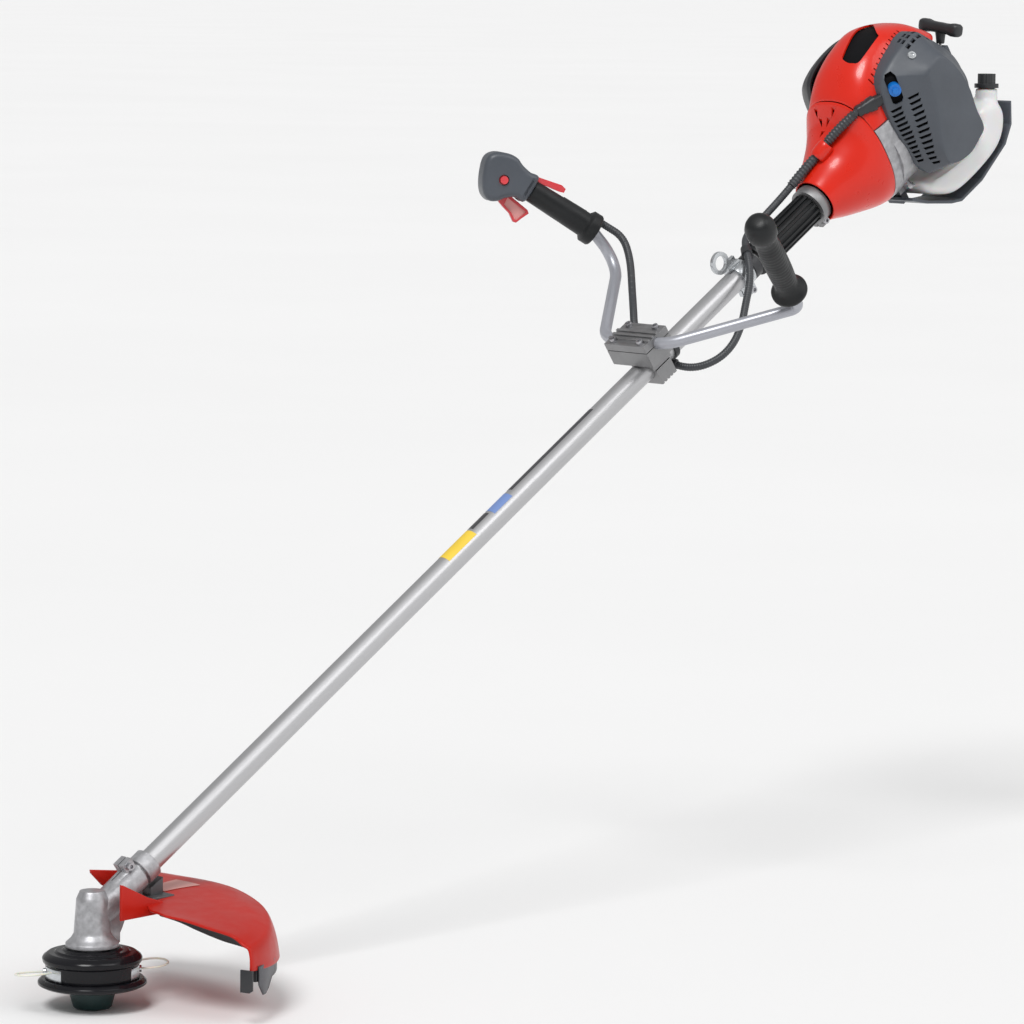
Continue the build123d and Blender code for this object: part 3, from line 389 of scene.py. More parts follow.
def dress(obj, look, body="machine", slot=None, stands_for=(), shade=None):
    """Gives a piece its finish, body, material slot, the CAD nodes it stands for and its smooth shading."""
    obj.data.materials.clear()
    obj.data.materials.append(finishes[look])
    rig.ride(obj, body)
    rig.slot(obj, slot or look)
    if stands_for:
        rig.replaces(obj, *stands_for)
    if shade:
        smooth(obj, shade)
    return obj


@contextmanager
def editing(mesh):
    """A bmesh of a mesh, written back when the block ends."""
    bm = bmesh.new()
    bm.from_mesh(mesh)
    yield bm
    bm.to_mesh(mesh)
    bm.free()


def smooth(obj, degrees):
    for face in obj.data.polygons:
        face.use_smooth = True
    obj.data.set_sharp_from_angle(angle=math.radians(degrees))


def soften(obj, width):
    """Rounds an object's hard edges, as a moulded or cast part's are."""
    weld = obj.modifiers.new("weld", "WELD")
    weld.merge_threshold = MERGE
    bevel = obj.modifiers.new("bevel", "BEVEL")
    bevel.width = width
    bevel.segments = 2
    bevel.limit_method = "ANGLE"
    bevel.angle_limit = math.radians(32)
    bevel.use_clamp_overlap = True
    bevel.miter_outer = "MITER_ARC"


def from_rings(name, rings, closed=True, caps=True):
    """A mesh skinned over rings of points, each ring with as many points as the next."""
    mesh = bpy.data.meshes.new(name)
    count = len(rings[0])
    verts = [tuple(p) for ring in rings for p in ring]
    faces = []
    span = count if closed else count - 1
    for i in range(len(rings) - 1):
        for j in range(span):
            k = (j + 1) % count
            faces.append((i * count + j, i * count + k, (i + 1) * count + k, (i + 1) * count + j))
    if caps:
        faces.append(tuple(reversed(range(count))))
        faces.append(tuple(range((len(rings) - 1) * count, len(rings) * count)))
    mesh.from_pydata(verts, [], faces)
    with editing(mesh) as bm:
        bmesh.ops.recalc_face_normals(bm, faces=bm.faces)
    return place(mesh, name)


def face_up(obj, lift=0.0):
    """Turns an open skin's faces upwards and raises it, in metres."""
    with editing(obj.data) as bm:
        if sum(f.normal.z for f in bm.faces) < 0:
            bmesh.ops.reverse_faces(bm, faces=bm.faces)
        bmesh.ops.translate(bm, verts=bm.verts, vec=(0, 0, lift))


def bake(obj):
    """Replaces an object's mesh by what its modifiers make of it."""
    bpy.context.view_layer.update()
    mesh = bpy.data.meshes.new_from_object(obj.evaluated_get(bpy.context.evaluated_depsgraph_get()))
    obj.modifiers.clear()
    obj.data = mesh


def boolean(obj, cutters, operation="DIFFERENCE"):
    """Cuts the joined cutters out of obj, or joins them to it."""
    bm = bmesh.new()
    for cutter in cutters:
        bpy.context.view_layer.update()
        start = len(bm.verts)
        bm.from_mesh(cutter.data)
        bm.verts.ensure_lookup_table()
        for vert in bm.verts[start:]:
            vert.co = cutter.matrix_world @ vert.co
        bpy.data.objects.remove(cutter)
    tool_mesh = bpy.data.meshes.new("cutter")
    bm.to_mesh(tool_mesh)
    bm.free()
    tool = place(tool_mesh, "cutter")
    modifier = obj.modifiers.new("cut", "BOOLEAN")
    modifier.operation = operation
    modifier.solver = "EXACT"
    modifier.object = tool
    bake(obj)
    bpy.data.objects.remove(tool)


def catmull(points, steps, closed=False):
    """Points on a smooth curve through the given ones; each is a tuple of any length."""
    out = []
    count = len(points)
    for i in range(count if closed else count - 1):
        a, b, c, d = [
            points[k % count] if closed else points[min(max(k, 0), count - 1)] for k in (i - 1, i, i + 1, i + 2)]
        for step in range(steps):
            t = step / steps
            out.append(tuple(
                0.5 * (2 * q + (r - p) * t + (2 * p - 5 * q + 4 * r - s) * t * t + (3 * q - p - 3 * r + s) * t ** 3)
                for p, q, r, s in zip(a, b, c, d)))
    if not closed:
        out.append(tuple(points[-1]))
    return out


def skin_of(name, rings, look, body="machine", slot=None, stands_for=(), caps=True, shade=35.0):
    return dress(from_rings(name, rings, caps=caps), look, body, slot, stands_for, shade)


def inset(outline, distance):
    """A closed outline of (a, b) points moved inwards, square to its own line."""
    area = sum(p[0] * q[1] - q[0] * p[1] for p, q in zip(outline, outline[1:] + outline[:1]))
    turn = 1 if area > 0 else -1
    out = []
    for i, here in enumerate(outline):
        before, after = outline[i - 1], outline[(i + 1) % len(outline)]
        along_line = Vector((after[0] - before[0], after[1] - before[1])).normalized()
        out.append((here[0] - along_line.y * distance * turn, here[1] + along_line.x * distance * turn))
    return out


def pillow_rings(outline, y0, y1, radius, to_world, steps=5):
    """Rings of a plate with rounded rims: an outline in the XZ plane, from y0 to y1."""
    rings = []
    turns = [i * math.pi / 2 / steps for i in range(steps + 1)]
    profile = [(radius * (1 - math.sin(t)), y0 + radius * (1 - math.cos(t))) for t in turns]
    profile += [(radius * (1 - math.sin(t)), y1 - radius * (1 - math.cos(t))) for t in reversed(turns)]
    for depth, y in profile:
        rings.append([to_world(x, y, z) for x, z in inset(outline, depth)])
    return rings


def lathe_rings(profile, centre, axis, count=48):
    """Rings about an axis through centre, from (distance along it, radius) in millimetres."""
    axis = Vector(axis).normalized()
    side = axis.orthogonal().normalized()
    other = axis.cross(side)
    return [
        [centre + (axis * step + (side * math.cos(t) + other * math.sin(t)) * radius) / 1000
         for t in turns_of(count)] for step, radius in profile]


def box_tool(corner_at, low, high):
    """A box between two corners given in the frame that corner_at turns into the row's."""
    ring = [(0, 0), (1, 0), (1, 1), (0, 1)]
    rings = [[corner_at(x, (low[1], high[1])[j], (low[2], high[2])[k]) for j, k in ring] for x in (low[0], high[0])]
    return from_rings("tool", rings)


def prism_tool(outline, to_world):
    """A prism whose outline is given at its start and, shifted, at its end by to_world(a, b, end)."""
    return from_rings("tool", [[to_world(a, b, end) for a, b in outline] for end in (0, 1)])


def frame_along(origin, toward, upward):
    """The frame of a grip: X along it, Z as near to upward as it can be."""
    x_dir = (toward - origin).normalized()
    z_dir = (upward - x_dir * upward.dot(x_dir)).normalized()
    y_dir = z_dir.cross(x_dir)
    return lambda x, y, z: origin + (x_dir * x + y_dir * y + z_dir * z) / 1000


# ---- moulded and cast edges on the CAD parts that stay ----
EDGE_ROUNDING = {
    0.0022: ["handlebar_base", "handlebar_cap", "handlebar_tube_clamp"],
    0.0014: ["gearcase", "harness_ring", "tank_guard"],
    0.0008: ["harness_clamp", "damper_collar", "head_housing", "head_cover", "bump_knob", "fuel_cap", "crankcase",
             "throttle_grip", "vibration_damper", "throttle_lockout", "stop_switch", "choke_knob"],
    0.0004: ["socket_screws", "line_eyelets", "cylinder", "line_spool"],
}
for width, nodes in EDGE_ROUNDING.items():
    for node in nodes:
        soften(frame["nodes"][node], width)

# ---- cords: the two line loops and the throttle cable's conduit ----
LINE_LOOP = [
    (57, 0, 44), (69, 0, 44), (82, 5, 44.5), (91, 16, 45.5), (91, 29, 46.8), (82, 37, 47.6), (67, 36, 47.6),
    (50, 24, 47),
]


def nurbs(name, route):
    """A smooth curve with the route's points as its control points."""
    curve = bpy.data.curves.new(name, "CURVE")
    curve.dimensions = "3D"
    spline = curve.splines.new("NURBS")
    spline.points.add(len(route) - 1)
    for point, at in zip(spline.points, route):
        point.co = (*at, 1.0)
    spline.order_u = 3
    spline.use_endpoint_u = True
    spline.resolution_u = 12
    return place(curve, name)


for number, turn in enumerate((149.5, -30.5)):
    c, s = math.cos(math.radians(turn)), math.sin(math.radians(turn))
    route = [((x * c - y * s) / 1000, (x * s + y * c) / 1000, z / 1000) for x, y, z in LINE_LOOP]
    line = nurbs(f"trimmer_line_{number}", route)
    line.data.bevel_depth = 0.0012
    line.data.bevel_resolution = 4
    line.data.use_fill_caps = True
    dress(line, "nylon_white", "head", stands_for=["nylon_line"])
    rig.cord(line, exit=route[0], length=0.0987, diameter=0.0024, far_end="object", stiffness="stiff")

THROTTLE_BASE = Vector((0.944, 0.178, 0.862))
THROTTLE_TIP = Vector((0.832, 0.245, 0.943))
in_throttle = frame_along(THROTTLE_BASE, THROTTLE_TIP, Vector((0, 0, 1)))

CABLE_ROUTE = [in_throttle(1, 0, 13), in_throttle(-15, 0, 13)]
CABLE_ROUTE += [Vector(p) / 1000 for p in (
    (974, 147, 851), (966, 125, 823), (938, 92, 788), (908, 58, 766), (892, 39, 741))]
CABLE_ROUTE += [from_shaft(*p) for p in (
    (1096, 32, -1), (1101, 10, -26), (1108, -20, -37), (1130, -42, -39), (1160, -47, -37), (1190, -43, -27),
    (1216, -36, -13), (1242, -31, 3), (1262, -21, 19), (1281, -2, 27), (1303, 15, 27), (1335, 19, 25.5),
    (1370, 19, 27), (1400, 15, 32), (1424, 7, 41), (1446, -4, 50), (1468, -14, 61), (1491, -31, 73),
    (1511, -49, 83))]


def line_points(route, step):
    """Evenly spaced points on the NURBS line through a route, read from the curve itself."""
    guide = nurbs("guide", route)
    bpy.context.view_layer.update()
    mesh = bpy.data.meshes.new_from_object(guide.evaluated_get(bpy.context.evaluated_depsgraph_get()))
    raw = [v.co.copy() for v in mesh.vertices]
    bpy.data.objects.remove(guide)
    out, carried = [raw[0]], 0.0
    for p, q in zip(raw, raw[1:]):
        run = (q - p).length
        while carried + run >= step and run > 1e-9:
            p = p.lerp(q, (step - carried) / run)
            run = (q - p).length
            carried = 0.0
            out.append(p.copy())
        carried += run
    out.append(raw[-1])
    return out


def tube_rings(points, radius_at, count=16):
    """Rings round a line of points, carried along it without twist."""
    rings = []
    side = (points[1] - points[0]).orthogonal().normalized()
    for i, here in enumerate(points):
        ahead = (points[min(i + 1, len(points) - 1)] - points[max(i - 1, 0)]).normalized()
        side = (side - ahead * side.dot(ahead)).normalized()
        other = ahead.cross(side)
        r = radius_at(i)
        rings.append([
            here + (side * math.cos(t) + other * math.sin(t)) * r for t in turns_of(count)])
    return rings


CABLE_STEP = 0.0008  # half a corrugation's flank
conduit_line = line_points(CABLE_ROUTE, CABLE_STEP)
conduit = skin_of(
    "throttle_conduit", tube_rings(conduit_line, lambda i: (0.005, 0.0049, 0.00445, 0.0049)[i % 4]),
    "conduit_black", slot="black_plastic", stands_for=["throttle_cable"], shade=60)


def nearest(u):
    """The index of the conduit's point nearest to a station along the shaft."""
    return min(range(len(conduit_line)), key=lambda i: abs(local(conduit_line[i])[0] - u))


sleeves = []
for name, u0, u1 in (("conduit_sleeve_lower", 1404, 1446), ("conduit_sleeve_upper", 1467, 1504)):
    run = conduit_line[nearest(u0):nearest(u1)]
    sleeves.append(skin_of(
        name, tube_rings(run, lambda i, last=len(run) - 1: 0.0054 if i in (0, last) else (
            0.0066, 0.0066, 0.0061, 0.0056, 0.0056, 0.0061)[i % 6], 24),
        "conduit_black", slot="black_plastic", shade=50))
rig.cord(conduit, exit=CABLE_ROUTE[0], length=0.784, diameter=0.010, far_end="object", stiffness="stiff",
        path=conduit_line, with_pieces=sleeves)

# ---- engine: clutch housing, hood and the band between them ----
# station, half width, lowest and highest point, squareness of the section
ENGINE_STATIONS = [
    (1418, 28, -28, 28, 2.0), (1430, 33.5, -33.5, 33.5, 2.0), (1445, 41, -41, 41, 2.0), (1466, 50, -50, 50, 2.05),
    (1490, 58, -59, 66, 2.25), (1508, 60.5, -63.5, 94, 2.4), (1525, 61, -64, 111, 2.6), (1545, 61, -61, 124, 2.7),
    (1575, 60, -60, 133.5, 2.8), (1612, 59, -60, 136, 2.8), (1655, 57, -60, 117, 2.8), (1678, 54, -60, 96, 2.8),
    (1692, 50, -60, 80, 2.8),
]
SEAM_U = 1508.0  # where the funnel ends and the hood begins
ENGINE_SIDES = 144
SHELL, SHELL_RIM = 0.0026, 0.0006  # metres, the moulded shells' wall and the rounding of its rim


def station_at(u):
    fine = station_at.table
    for low, high in zip(fine, fine[1:]):
        if u <= high[0]:
            t = (u - low[0]) / (high[0] - low[0])
            return [p + (q - p) * t for p, q in zip(low, high)]
    return list(fine[-1])


station_at.table = catmull(ENGINE_STATIONS, 8)


def section_point(u, turn, out=0.0):
    """A point on the engine's outer skin: turn is 0 towards +Y and 90 degrees at the top."""
    _, half, low, high, power = station_at(u)
    c, s = squared(turn, 2 / power)
    return (half + out) * c, (low + high) / 2 + ((high - low) / 2 + out) * s


def engine_rings(first, last, step, out=0.0):
    rings = []
    total = max(1, round((last - first) / step))
    for i in range(total + 1):
        u = first + (last - first) * i / total
        rings.append([from_shaft(u, *section_point(u, turn, out)) for turn in turns_of(ENGINE_SIDES)])
    return rings


def keep_where(obj, level):
    """Cuts the open skin along the line where level(u, y, w) is zero and keeps what is above it."""
    near = 0.12  # a corner this near to the line, as a share of its edge, moves onto it
    on_line = {}  # keeps the order in which its points are found, so every run gives the same mesh
    with editing(obj.data) as bm:
        value = {v: level(*local(v.co)) for v in bm.verts}
        for edge in bm.edges:
            for a, b in (edge.verts, reversed(edge.verts)):
                if value[a] * value[b] < 0 and value[a] / (value[a] - value[b]) < near:
                    a.co = a.co.lerp(b.co, value[a] / (value[a] - value[b]))
                    value[a] = 0.0
                    on_line[a] = True
        for edge in list(bm.edges):
            a, b = edge.verts
            if value[a] * value[b] < 0:
                vert = bmesh.utils.edge_split(edge, a, value[a] / (value[a] - value[b]))[1]
                value[vert] = 0.0
                on_line[vert] = True
        bmesh.ops.connect_verts(bm, verts=list(on_line))
        gone = [f for f in bm.faces if min(value[v] for v in f.verts) < 0]
        bmesh.ops.delete(bm, geom=gone, context="FACES")


def wall(obj, thickness, rim=0.0):
    """Gives an open skin its wall, inwards, and rounds the wall's rim."""
    solid = obj.modifiers.new("wall", "SOLIDIFY")
    solid.thickness = thickness
    solid.offset = -1.0
    if rim:
        bevel = obj.modifiers.new("rim", "BEVEL")
        bevel.width = rim
        bevel.segments = 2
        bevel.limit_method = "ANGLE"
        bevel.angle_limit = math.radians(50)
    bake(obj)


def hood_level(u, y, w):
    """The hood's lower edge: low beside the funnel, then up over the side covers."""
    edge = 50 + 28 * min(1.0, max(0.0, (u - 1545) / 14))
    return w - edge


# the funnel and its vents
funnel = from_rings("clutch_funnel", engine_rings(1418.5, SEAM_U, 2.5), caps=False)
wall(funnel, SHELL, SHELL_RIM)
VENTS = [(1499, 22), (1499, -11), (1492, 13), (1492, -2), (1481, 6)]
vent_tools = []
for u, y in VENTS:
    lean = 1 if y > 6 else -1
    corners = [(u - 4, y - 3.5 * lean), (u + 3.5, y - 3 * lean), (u + 3.5, y + 4 * lean)]
    vent_tools.append(prism_tool(corners, lambda a, b, end: from_shaft(a, b, 30 + 70 * end)))
boolean(funnel, vent_tools)
dress(funnel, "orange_red", stands_for=["clutch_housing"], shade=35)

# the hood with its top window and the slits along its shoulder
hood = from_rings("engine_hood", engine_rings(SEAM_U + 0.7, 1692, 2.5), caps=False)
keep_where(hood, hood_level)
wall(hood, SHELL, SHELL_RIM)
WINDOW = [
    (1566, 0), (1600, 8), (1632, 15), (1637, 13), (1634, 4), (1610, -24), (1602, -31), (1560, -31), (1552, -22),
    (1552, -13), (1557, -3),
]
hood_tools = [prism_tool(catmull(WINDOW, 4, closed=True), lambda a, b, end: from_shaft(a, b, 104 + 60 * end))]
SLITS = 12
for i in range(SLITS):
    u = 1546 + 88 * i / (SLITS - 1)
    y = -49 + 11 * (i / (SLITS - 1)) ** 2
    _, half, low, high, power = station_at(u)
    w = (low + high) / 2 + (high - low) / 2 * (1 - (abs(y) / half) ** power) ** (1 / power)
    lean = math.radians(58)
    across = Vector((0, -math.cos(lean), -math.sin(lean)))
    outwards = Vector((0, -math.sin(lean), math.cos(lean)))
    hood_tools.append(box_tool(
        lambda a, b, c, u=u, y=y, w=w, across=across, outwards=outwards: from_shaft(
            *(Vector((u + a, y, w)) + across * b + outwards * c)), (-1.0, -5.0, -6.0), (1.0, 5.0, 6.0)))
boolean(hood, hood_tools)
dress(hood, "orange_red", stands_for=["engine_shroud"], shade=35)

# the black tray under the window
tray = from_rings("window_tray", engine_rings(1540, 1650, 3, out=-4.5), caps=False)
keep_where(tray, lambda u, y, w: w - 92)
wall(tray, 0.0015)
dress(tray, "dark_lining", slot="black_plastic", stands_for=["vent_grille"], shade=35)

# the cast band between the funnel and the side covers
band = from_rings("fan_band", engine_rings(SEAM_U + 1.2, 1548, 3, out=-0.8), caps=False)
keep_where(band, lambda u, y, w: 49.0 - w)
wall(band, 0.003, 0.0008)
dress(band, "cast_alloy", shade=35)

# ---- side covers: a base outline, a ridge round the outer face, and the face ----
FILTER_RIM = [
    (1635, 122), (1609, 120), (1578, 114), (1551, 104), (1540, 87), (1536, 65), (1534, 45), (1539, 10),
    (1544, -26), (1554, -50), (1580, -59), (1605, -64), (1623, -64), (1647, -54), (1671, -53), (1679, -44),
    (1675, -16), (1677, 2), (1683, 20), (1681, 49), (1666, 76), (1642, 111),
]
FILTER_RIDGE = [
    (1625, 89), (1611, 88), (1598, 86), (1592, 81), (1590, 72), (1588, 56), (1584, 38), (1572, 8), (1562, -20),
    (1566, -40), (1580, -48), (1598, -51), (1612, -51), (1628, -44), (1641, -42), (1646, -34), (1644, -14),
    (1646, 2), (1649, 18), (1646, 44), (1640, 64), (1632, 82),
]
RIM_Y, RIDGE_Y = -66.0, -103.5
CORNER_CREASE = 0.55


def cover_cage(name, rim, ridge, levels, ridge_crease, rim_crease, corner_creases=()):
    """A dished cover as a subdivided cage: levels are (share towards the ridge, y), outwards."""
    count = len(rim)
    centre = [sum(p[k] for p in ridge) / count for k in (0, 1)]
    rings = []
    for share, y in levels:
        if share <= 1:
            flat = [(p[0] + (q[0] - p[0]) * share, p[1] + (q[1] - p[1]) * share) for p, q in zip(rim, ridge)]
        else:
            flat = [(q[0] + (centre[0] - q[0]) * (share - 1), q[1] + (centre[1] - q[1]) * (share - 1)) for q in ridge]
        rings.append([from_shaft(u, y(u, w) if callable(y) else y, w) for u, w in flat])
    obj = from_rings(name, rings, caps=False)
    ridge_at = [i for i, (share, _) in enumerate(levels) if share == 1][0]
    rim_at = [i for i, (share, _) in enumerate(levels) if share == 0][-1]
    with editing(obj.data) as bm:
        bm.verts.ensure_lookup_table()
        bm.faces.new([bm.verts[(len(rings) - 1) * count + k] for k in range(count)])
        bmesh.ops.recalc_face_normals(bm, faces=bm.faces)
        layer = bm.edges.layers.float.get("crease_edge") or bm.edges.layers.float.new("crease_edge")
        for edge in bm.edges:
            a, b = sorted(v.index for v in edge.verts)
            (ring_a, column_a), (ring_b, column_b) = divmod(a, count), divmod(b, count)
            if ring_a == ring_b == ridge_at:
                edge[layer] = ridge_crease
            if ring_a == ring_b == rim_at:
                edge[layer] = rim_crease
            if column_a == column_b and column_a in corner_creases and ring_a >= rim_at and ring_b <= ridge_at:
                edge[layer] = CORNER_CREASE
    subdivide = obj.modifiers.new("round", "SUBSURF")
    subdivide.levels = 3
    subdivide.render_levels = 3
    bake(obj)
    with editing(obj.data) as bm:
        inner = sum((v.co for v in bm.verts), Vector()) / len(bm.verts)
        bmesh.ops.recalc_face_normals(bm, faces=bm.faces)
        facing = sum((f.calc_center_median() - inner).dot(f.normal) * f.calc_area() for f in bm.faces)
        if facing < 0:
            bmesh.ops.reverse_faces(bm, faces=bm.faces)
    return obj


def tuck_y(u, w):
    """How far the cover reaches back over the hood: far at the top, little below."""
    return -60 + 18 * min(1.0, max(0.0, (w - 78) / 26))


SIDE_LEVELS = [(0, tuck_y), (0, RIM_Y), (0.5, (RIM_Y + RIDGE_Y) / 2), (1, RIDGE_Y), (1.35, -105.0)]
SHARP_COLUMNS = (3, 9)
cover = cover_cage(
    "filter_side_cover", FILTER_RIM, FILTER_RIDGE, SIDE_LEVELS + [(1.8, -105.3)], 0.6, 0.45, SHARP_COLUMNS)
wall(cover, 0.0024)


def row_at(outline, first, last, w):
    """Where a run of the outline is at height w."""
    run = outline[first:last]
    for (u0, w0), (u1, w1) in zip(run, run[1:]):
        if min(w0, w1) <= w <= max(w0, w1):
            return u0 + (u1 - u0) * (w - w0) / (w1 - w0)
    return run[-1][0]


cover_tools = []
FACET_OUT = Vector((-0.575, -0.818, 0.0))
FACET_ALONG = Vector((0.818, -0.575, 0.0))
for share, top, bottom, count in ((0.19, 58, -24, 12), (0.60, 64, -33, 13)):
    for i in range(count):
        w = top + (bottom - top) * i / (count - 1)
        u0, u1 = row_at(FILTER_RIM, 4, 11, w), row_at(FILTER_RIDGE, 4, 11, w)
        spot = Vector((u0 + (u1 - u0) * share, RIM_Y + (RIDGE_Y - RIM_Y) * share, w))
        width = min(7.4, (0.14 + 0.12 * share) * (u1 - u0) + 0.8)
        cover_tools.append(box_tool(
            lambda a, b, c, spot=spot: from_shaft(
                *(spot + FACET_ALONG * a + Vector((0.10 * a, 0, 1)) * b + FACET_OUT * c)),
            (-width, -2.0, -9.0), (width, 2.0, 9.0)))
for row in range(3):
    for column in range(4):
        spot = Vector((1612 + 11 * column - 2 * row, -56 - 8 * row, 118 - 3.5 * column - 3 * row))
        cover_tools.append(box_tool(
            lambda a, b, c, spot=spot: from_shaft(spot.x + a, spot.y + b, spot.z + c),
            (-3.6, -2.2, -14), (3.6, 2.2, 14)))
KNOB_SPOT = Vector((1554.4, -74.5, 85.0))
recess = [(-7.5, -17), (-4, -20), (5, -20), (8, -16), (8, 14), (4, 20), (-5, 20), (-8, 15)]
cover_tools.append(prism_tool(recess, lambda a, b, end: from_shaft(
    *(KNOB_SPOT + FACET_ALONG * a + Vector((0.12 * b, 0, b)) + FACET_OUT * (24 * end - 12)))))
boolean(cover, cover_tools)
dress(cover, "grey_plastic", stands_for=["filter_cover"], shade=40)

# a dark sheet behind the cover's slots: it stands in for the dark filter foam and is painted shade of the cover's
# unlit inside
SLOT_SHADE_GAP = 0.0065
shade_sheet = cover_cage(
    "filter_slot_shade", FILTER_RIM, FILTER_RIDGE, SIDE_LEVELS + [(1.8, -105.5)], 0.55, 0.4, SHARP_COLUMNS)
for vert, normal in [(v, v.normal.copy()) for v in shade_sheet.data.vertices]:
    vert.co -= normal * SLOT_SHADE_GAP
wall(shade_sheet, 0.0012)
dress(shade_sheet, "dark_lining", slot="filter_foam", shade=40)

skin_of("cover_screw", lathe_rings(
    [(-6, 3.6), (0, 3.6), (0.4, 5.6), (1.8, 5.6), (2.5, 4.8), (2.5, 2.6), (1.2, 2.4), (1.2, 0.3)],
    from_shaft(1600, -80.4, 105.6), (-0.54, -0.64, 0.54), 24), "zinc")

MUFFLER_RIM = [
    (1656, 104), (1604, 116), (1550, 106), (1534, 88), (1530, 38), (1542, -20), (1572, -44), (1640, -44),
    (1680, -10), (1686, 58),
]
MUFFLER_RIDGE = [
    (1645, 84), (1604, 94), (1562, 86), (1550, 72), (1548, 36), (1558, -8), (1580, -26), (1632, -26),
    (1662, 0), (1666, 50),
]
muffler_cover = cover_cage(
    "muffler_side_cover", MUFFLER_RIM, MUFFLER_RIDGE,
    [(0, 60), (0, 66.5), (0.5, 84), (1, 96), (1.35, 97.5), (1.8, 98)], 0.5, 0.4)
wall(muffler_cover, 0.0024)
boolean(muffler_cover, [
    box_tool(lambda a, b, c, i=i: from_shaft(1570 + 13 * i + a, b, 32 + c), (-2.6, 80, -28), (2.6, 110, 28))
    for i in range(6)])
dress(muffler_cover, "black_plastic", slot=slot_of["muffler_cover"], stands_for=["muffler_cover"], shade=40)

# ---- starter cover: a spun shell with radial vents, and the tower that the rope leaves by ----
ROPE_EXIT = from_shaft(1718, -20, 69) - Vector((0, 0, 0.042))
COVER_PROFILE = [
    (0, 49.4), (0, 52), (60, 52), (63, 51.2), (72, 46.6), (75, 44.2), (76, 42.5), (76, 16), (74.4, 14), (74.4, 0.4),
    (44, 0.4), (44, 5), (71.6, 5), (71.6, 13), (73.2, 15.5), (73.2, 41.5), (72.4, 43), (69.5, 45), (61, 49),
    (59, 49.4),
]
starter = from_rings("starter_cover", lathe_rings(
    COVER_PROFILE + COVER_PROFILE[:1], from_shaft(1628, 0, 0), ALONG_SHAFT, 72), caps=False)
with editing(starter.data) as bm:
    bmesh.ops.remove_doubles(bm, verts=bm.verts, dist=MERGE)
    bmesh.ops.recalc_face_normals(bm, faces=bm.faces)
cover_vents = []
COVER_VENTS = 14
for turn in turns_of(COVER_VENTS):
    c, s = math.cos(turn), math.sin(turn)
    cover_vents.append(box_tool(lambda a, b, out, c=c, s=s: from_shaft(a, out * c - b * s, out * s + b * c),
                                (1695, -1.9, 20), (1710, 1.9, 38)))
boolean(starter, cover_vents)
dress(starter, slot_of["starter_housing"], stands_for=["starter_housing"], shade=30)
tower = from_rings("rope_tower", [
    [from_shaft(u, y, w) for u, y in inset([(1686, -30), (1686, -10), (1708, -10), (1708, -30)], depth)]
    for w, depth in ((24, 0), (45.5, 0), (46.6, 0.5), (47, 1.6))])
boolean(tower, [from_rings("tool", lathe_rings([(-60, 3.4), (10, 3.4)], ROPE_EXIT, (0, 0, 1), 24))])
dress(tower, slot_of["starter_housing"], shade=30)

# ---- fuel tank: a blow-moulded body with its neck drawn out of it ----
TANK_OUTLINE = [
    (1560, -67), (1600, -74), (1648, -78), (1680, -70), (1698, -52), (1725, -50), (1737, -70), (1729, -92),
    (1704, -111), (1660, -118), (1606, -116), (1575, -99), (1558, -82),
]
tank = from_rings("tank_body", pillow_rings(catmull(TANK_OUTLINE, 6, closed=True), -54, 34, 15, from_shaft))
NECK_TOP = from_shaft(1738.5, -32, -43)
neck = from_rings("neck", lathe_rings(
    [(0, 14.8), (-2, 14.8), (-14, 14.8), (-20, 15.6), (-28, 18), (-36, 21), (-50, 22)], NECK_TOP, (0, 0, 1)))
boolean(tank, [neck], "UNION")
blow = tank.modifiers.new("blow", "REMESH")
blow.mode = "VOXEL"
blow.voxel_size = 0.0017
relax = tank.modifiers.new("relax", "SMOOTH")
relax.factor = 0.7
relax.iterations = 20
bake(tank)
dress(tank, "tank_white", stands_for=["fuel_tank"], shade=80)

# ---- line guard: one moulded shell, its strip and its knife ----
# angle towards -Y, root radius, shoulder radius and height, foot radius and height
GUARD_STATIONS = [
    (-42, 64, 196, 126, 212, 99), (-31, 64, 198, 125, 214, 74), (-20, 64, 200, 122, 215, 64),
    (0, 64, 202, 119, 216, 62), (18, 64, 203, 113, 216, 60), (36, 64, 204, 107, 216, 60),
    (54, 70, 207, 100, 216, 61), (70, 98, 209, 94, 213, 64),
]
rings = []
for angle, root, shoulder, top, foot, low in catmull(GUARD_STATIONS, 6):
    swell = ((root + shoulder) / 2, 118 * 0.45 + top * 0.55 + 5)
    profile = [(root, 118), ((root + swell[0]) / 2, (118 + swell[1]) / 2 + 1.2), swell,
               ((shoulder * 1.2 + swell[0] * 0.8) / 2, (top + swell[1]) / 2 + 1.5), (shoulder - 7, top + 0.5),
               (shoulder + 1, top - 4), ((shoulder + foot) / 2 + 2, (top + low) / 2), (foot, low)]
    rings.append([round_head(angle, r, z) for r, z in catmull(profile, 5)])
deck = from_rings("guard_deck", rings, closed=False, caps=False)
face_up(deck)
wall(deck, 0.003, 0.0009)
dress(deck, "guard_red", stands_for=["guard_shell"], shade=45)
# a pale pink patch of painted highlight where the deck's flat raised part catches the light: some of the deck's own
# points, just over it; a plain patch in place of a label: some of the deck's own points, just over it
PATCH_ROWS, PATCH_COLUMNS, PATCH_LIFT = slice(14, 19), slice(6, 14), 0.0009
patch = from_rings("guard_highlight_patch", [row[PATCH_COLUMNS] for row in rings[PATCH_ROWS]], closed=False, caps=False)
face_up(patch, PATCH_LIFT)
wall(patch, 0.0005)
dress(patch, "label_pale", slot="guard_red", shade=45)


def plain(x, y, z):
    """A row-frame point in millimetres, in metres."""
    return Vector((x, y, z)) / 1000


def plate_piece(name, outline, y0, y1, radius, look, to_world=plain, body="machine", slot=None, stands_for=()):
    return skin_of(
        name, pillow_rings(outline, y0, y1, radius, to_world, steps=3), look, body, slot, stands_for, shade=50)


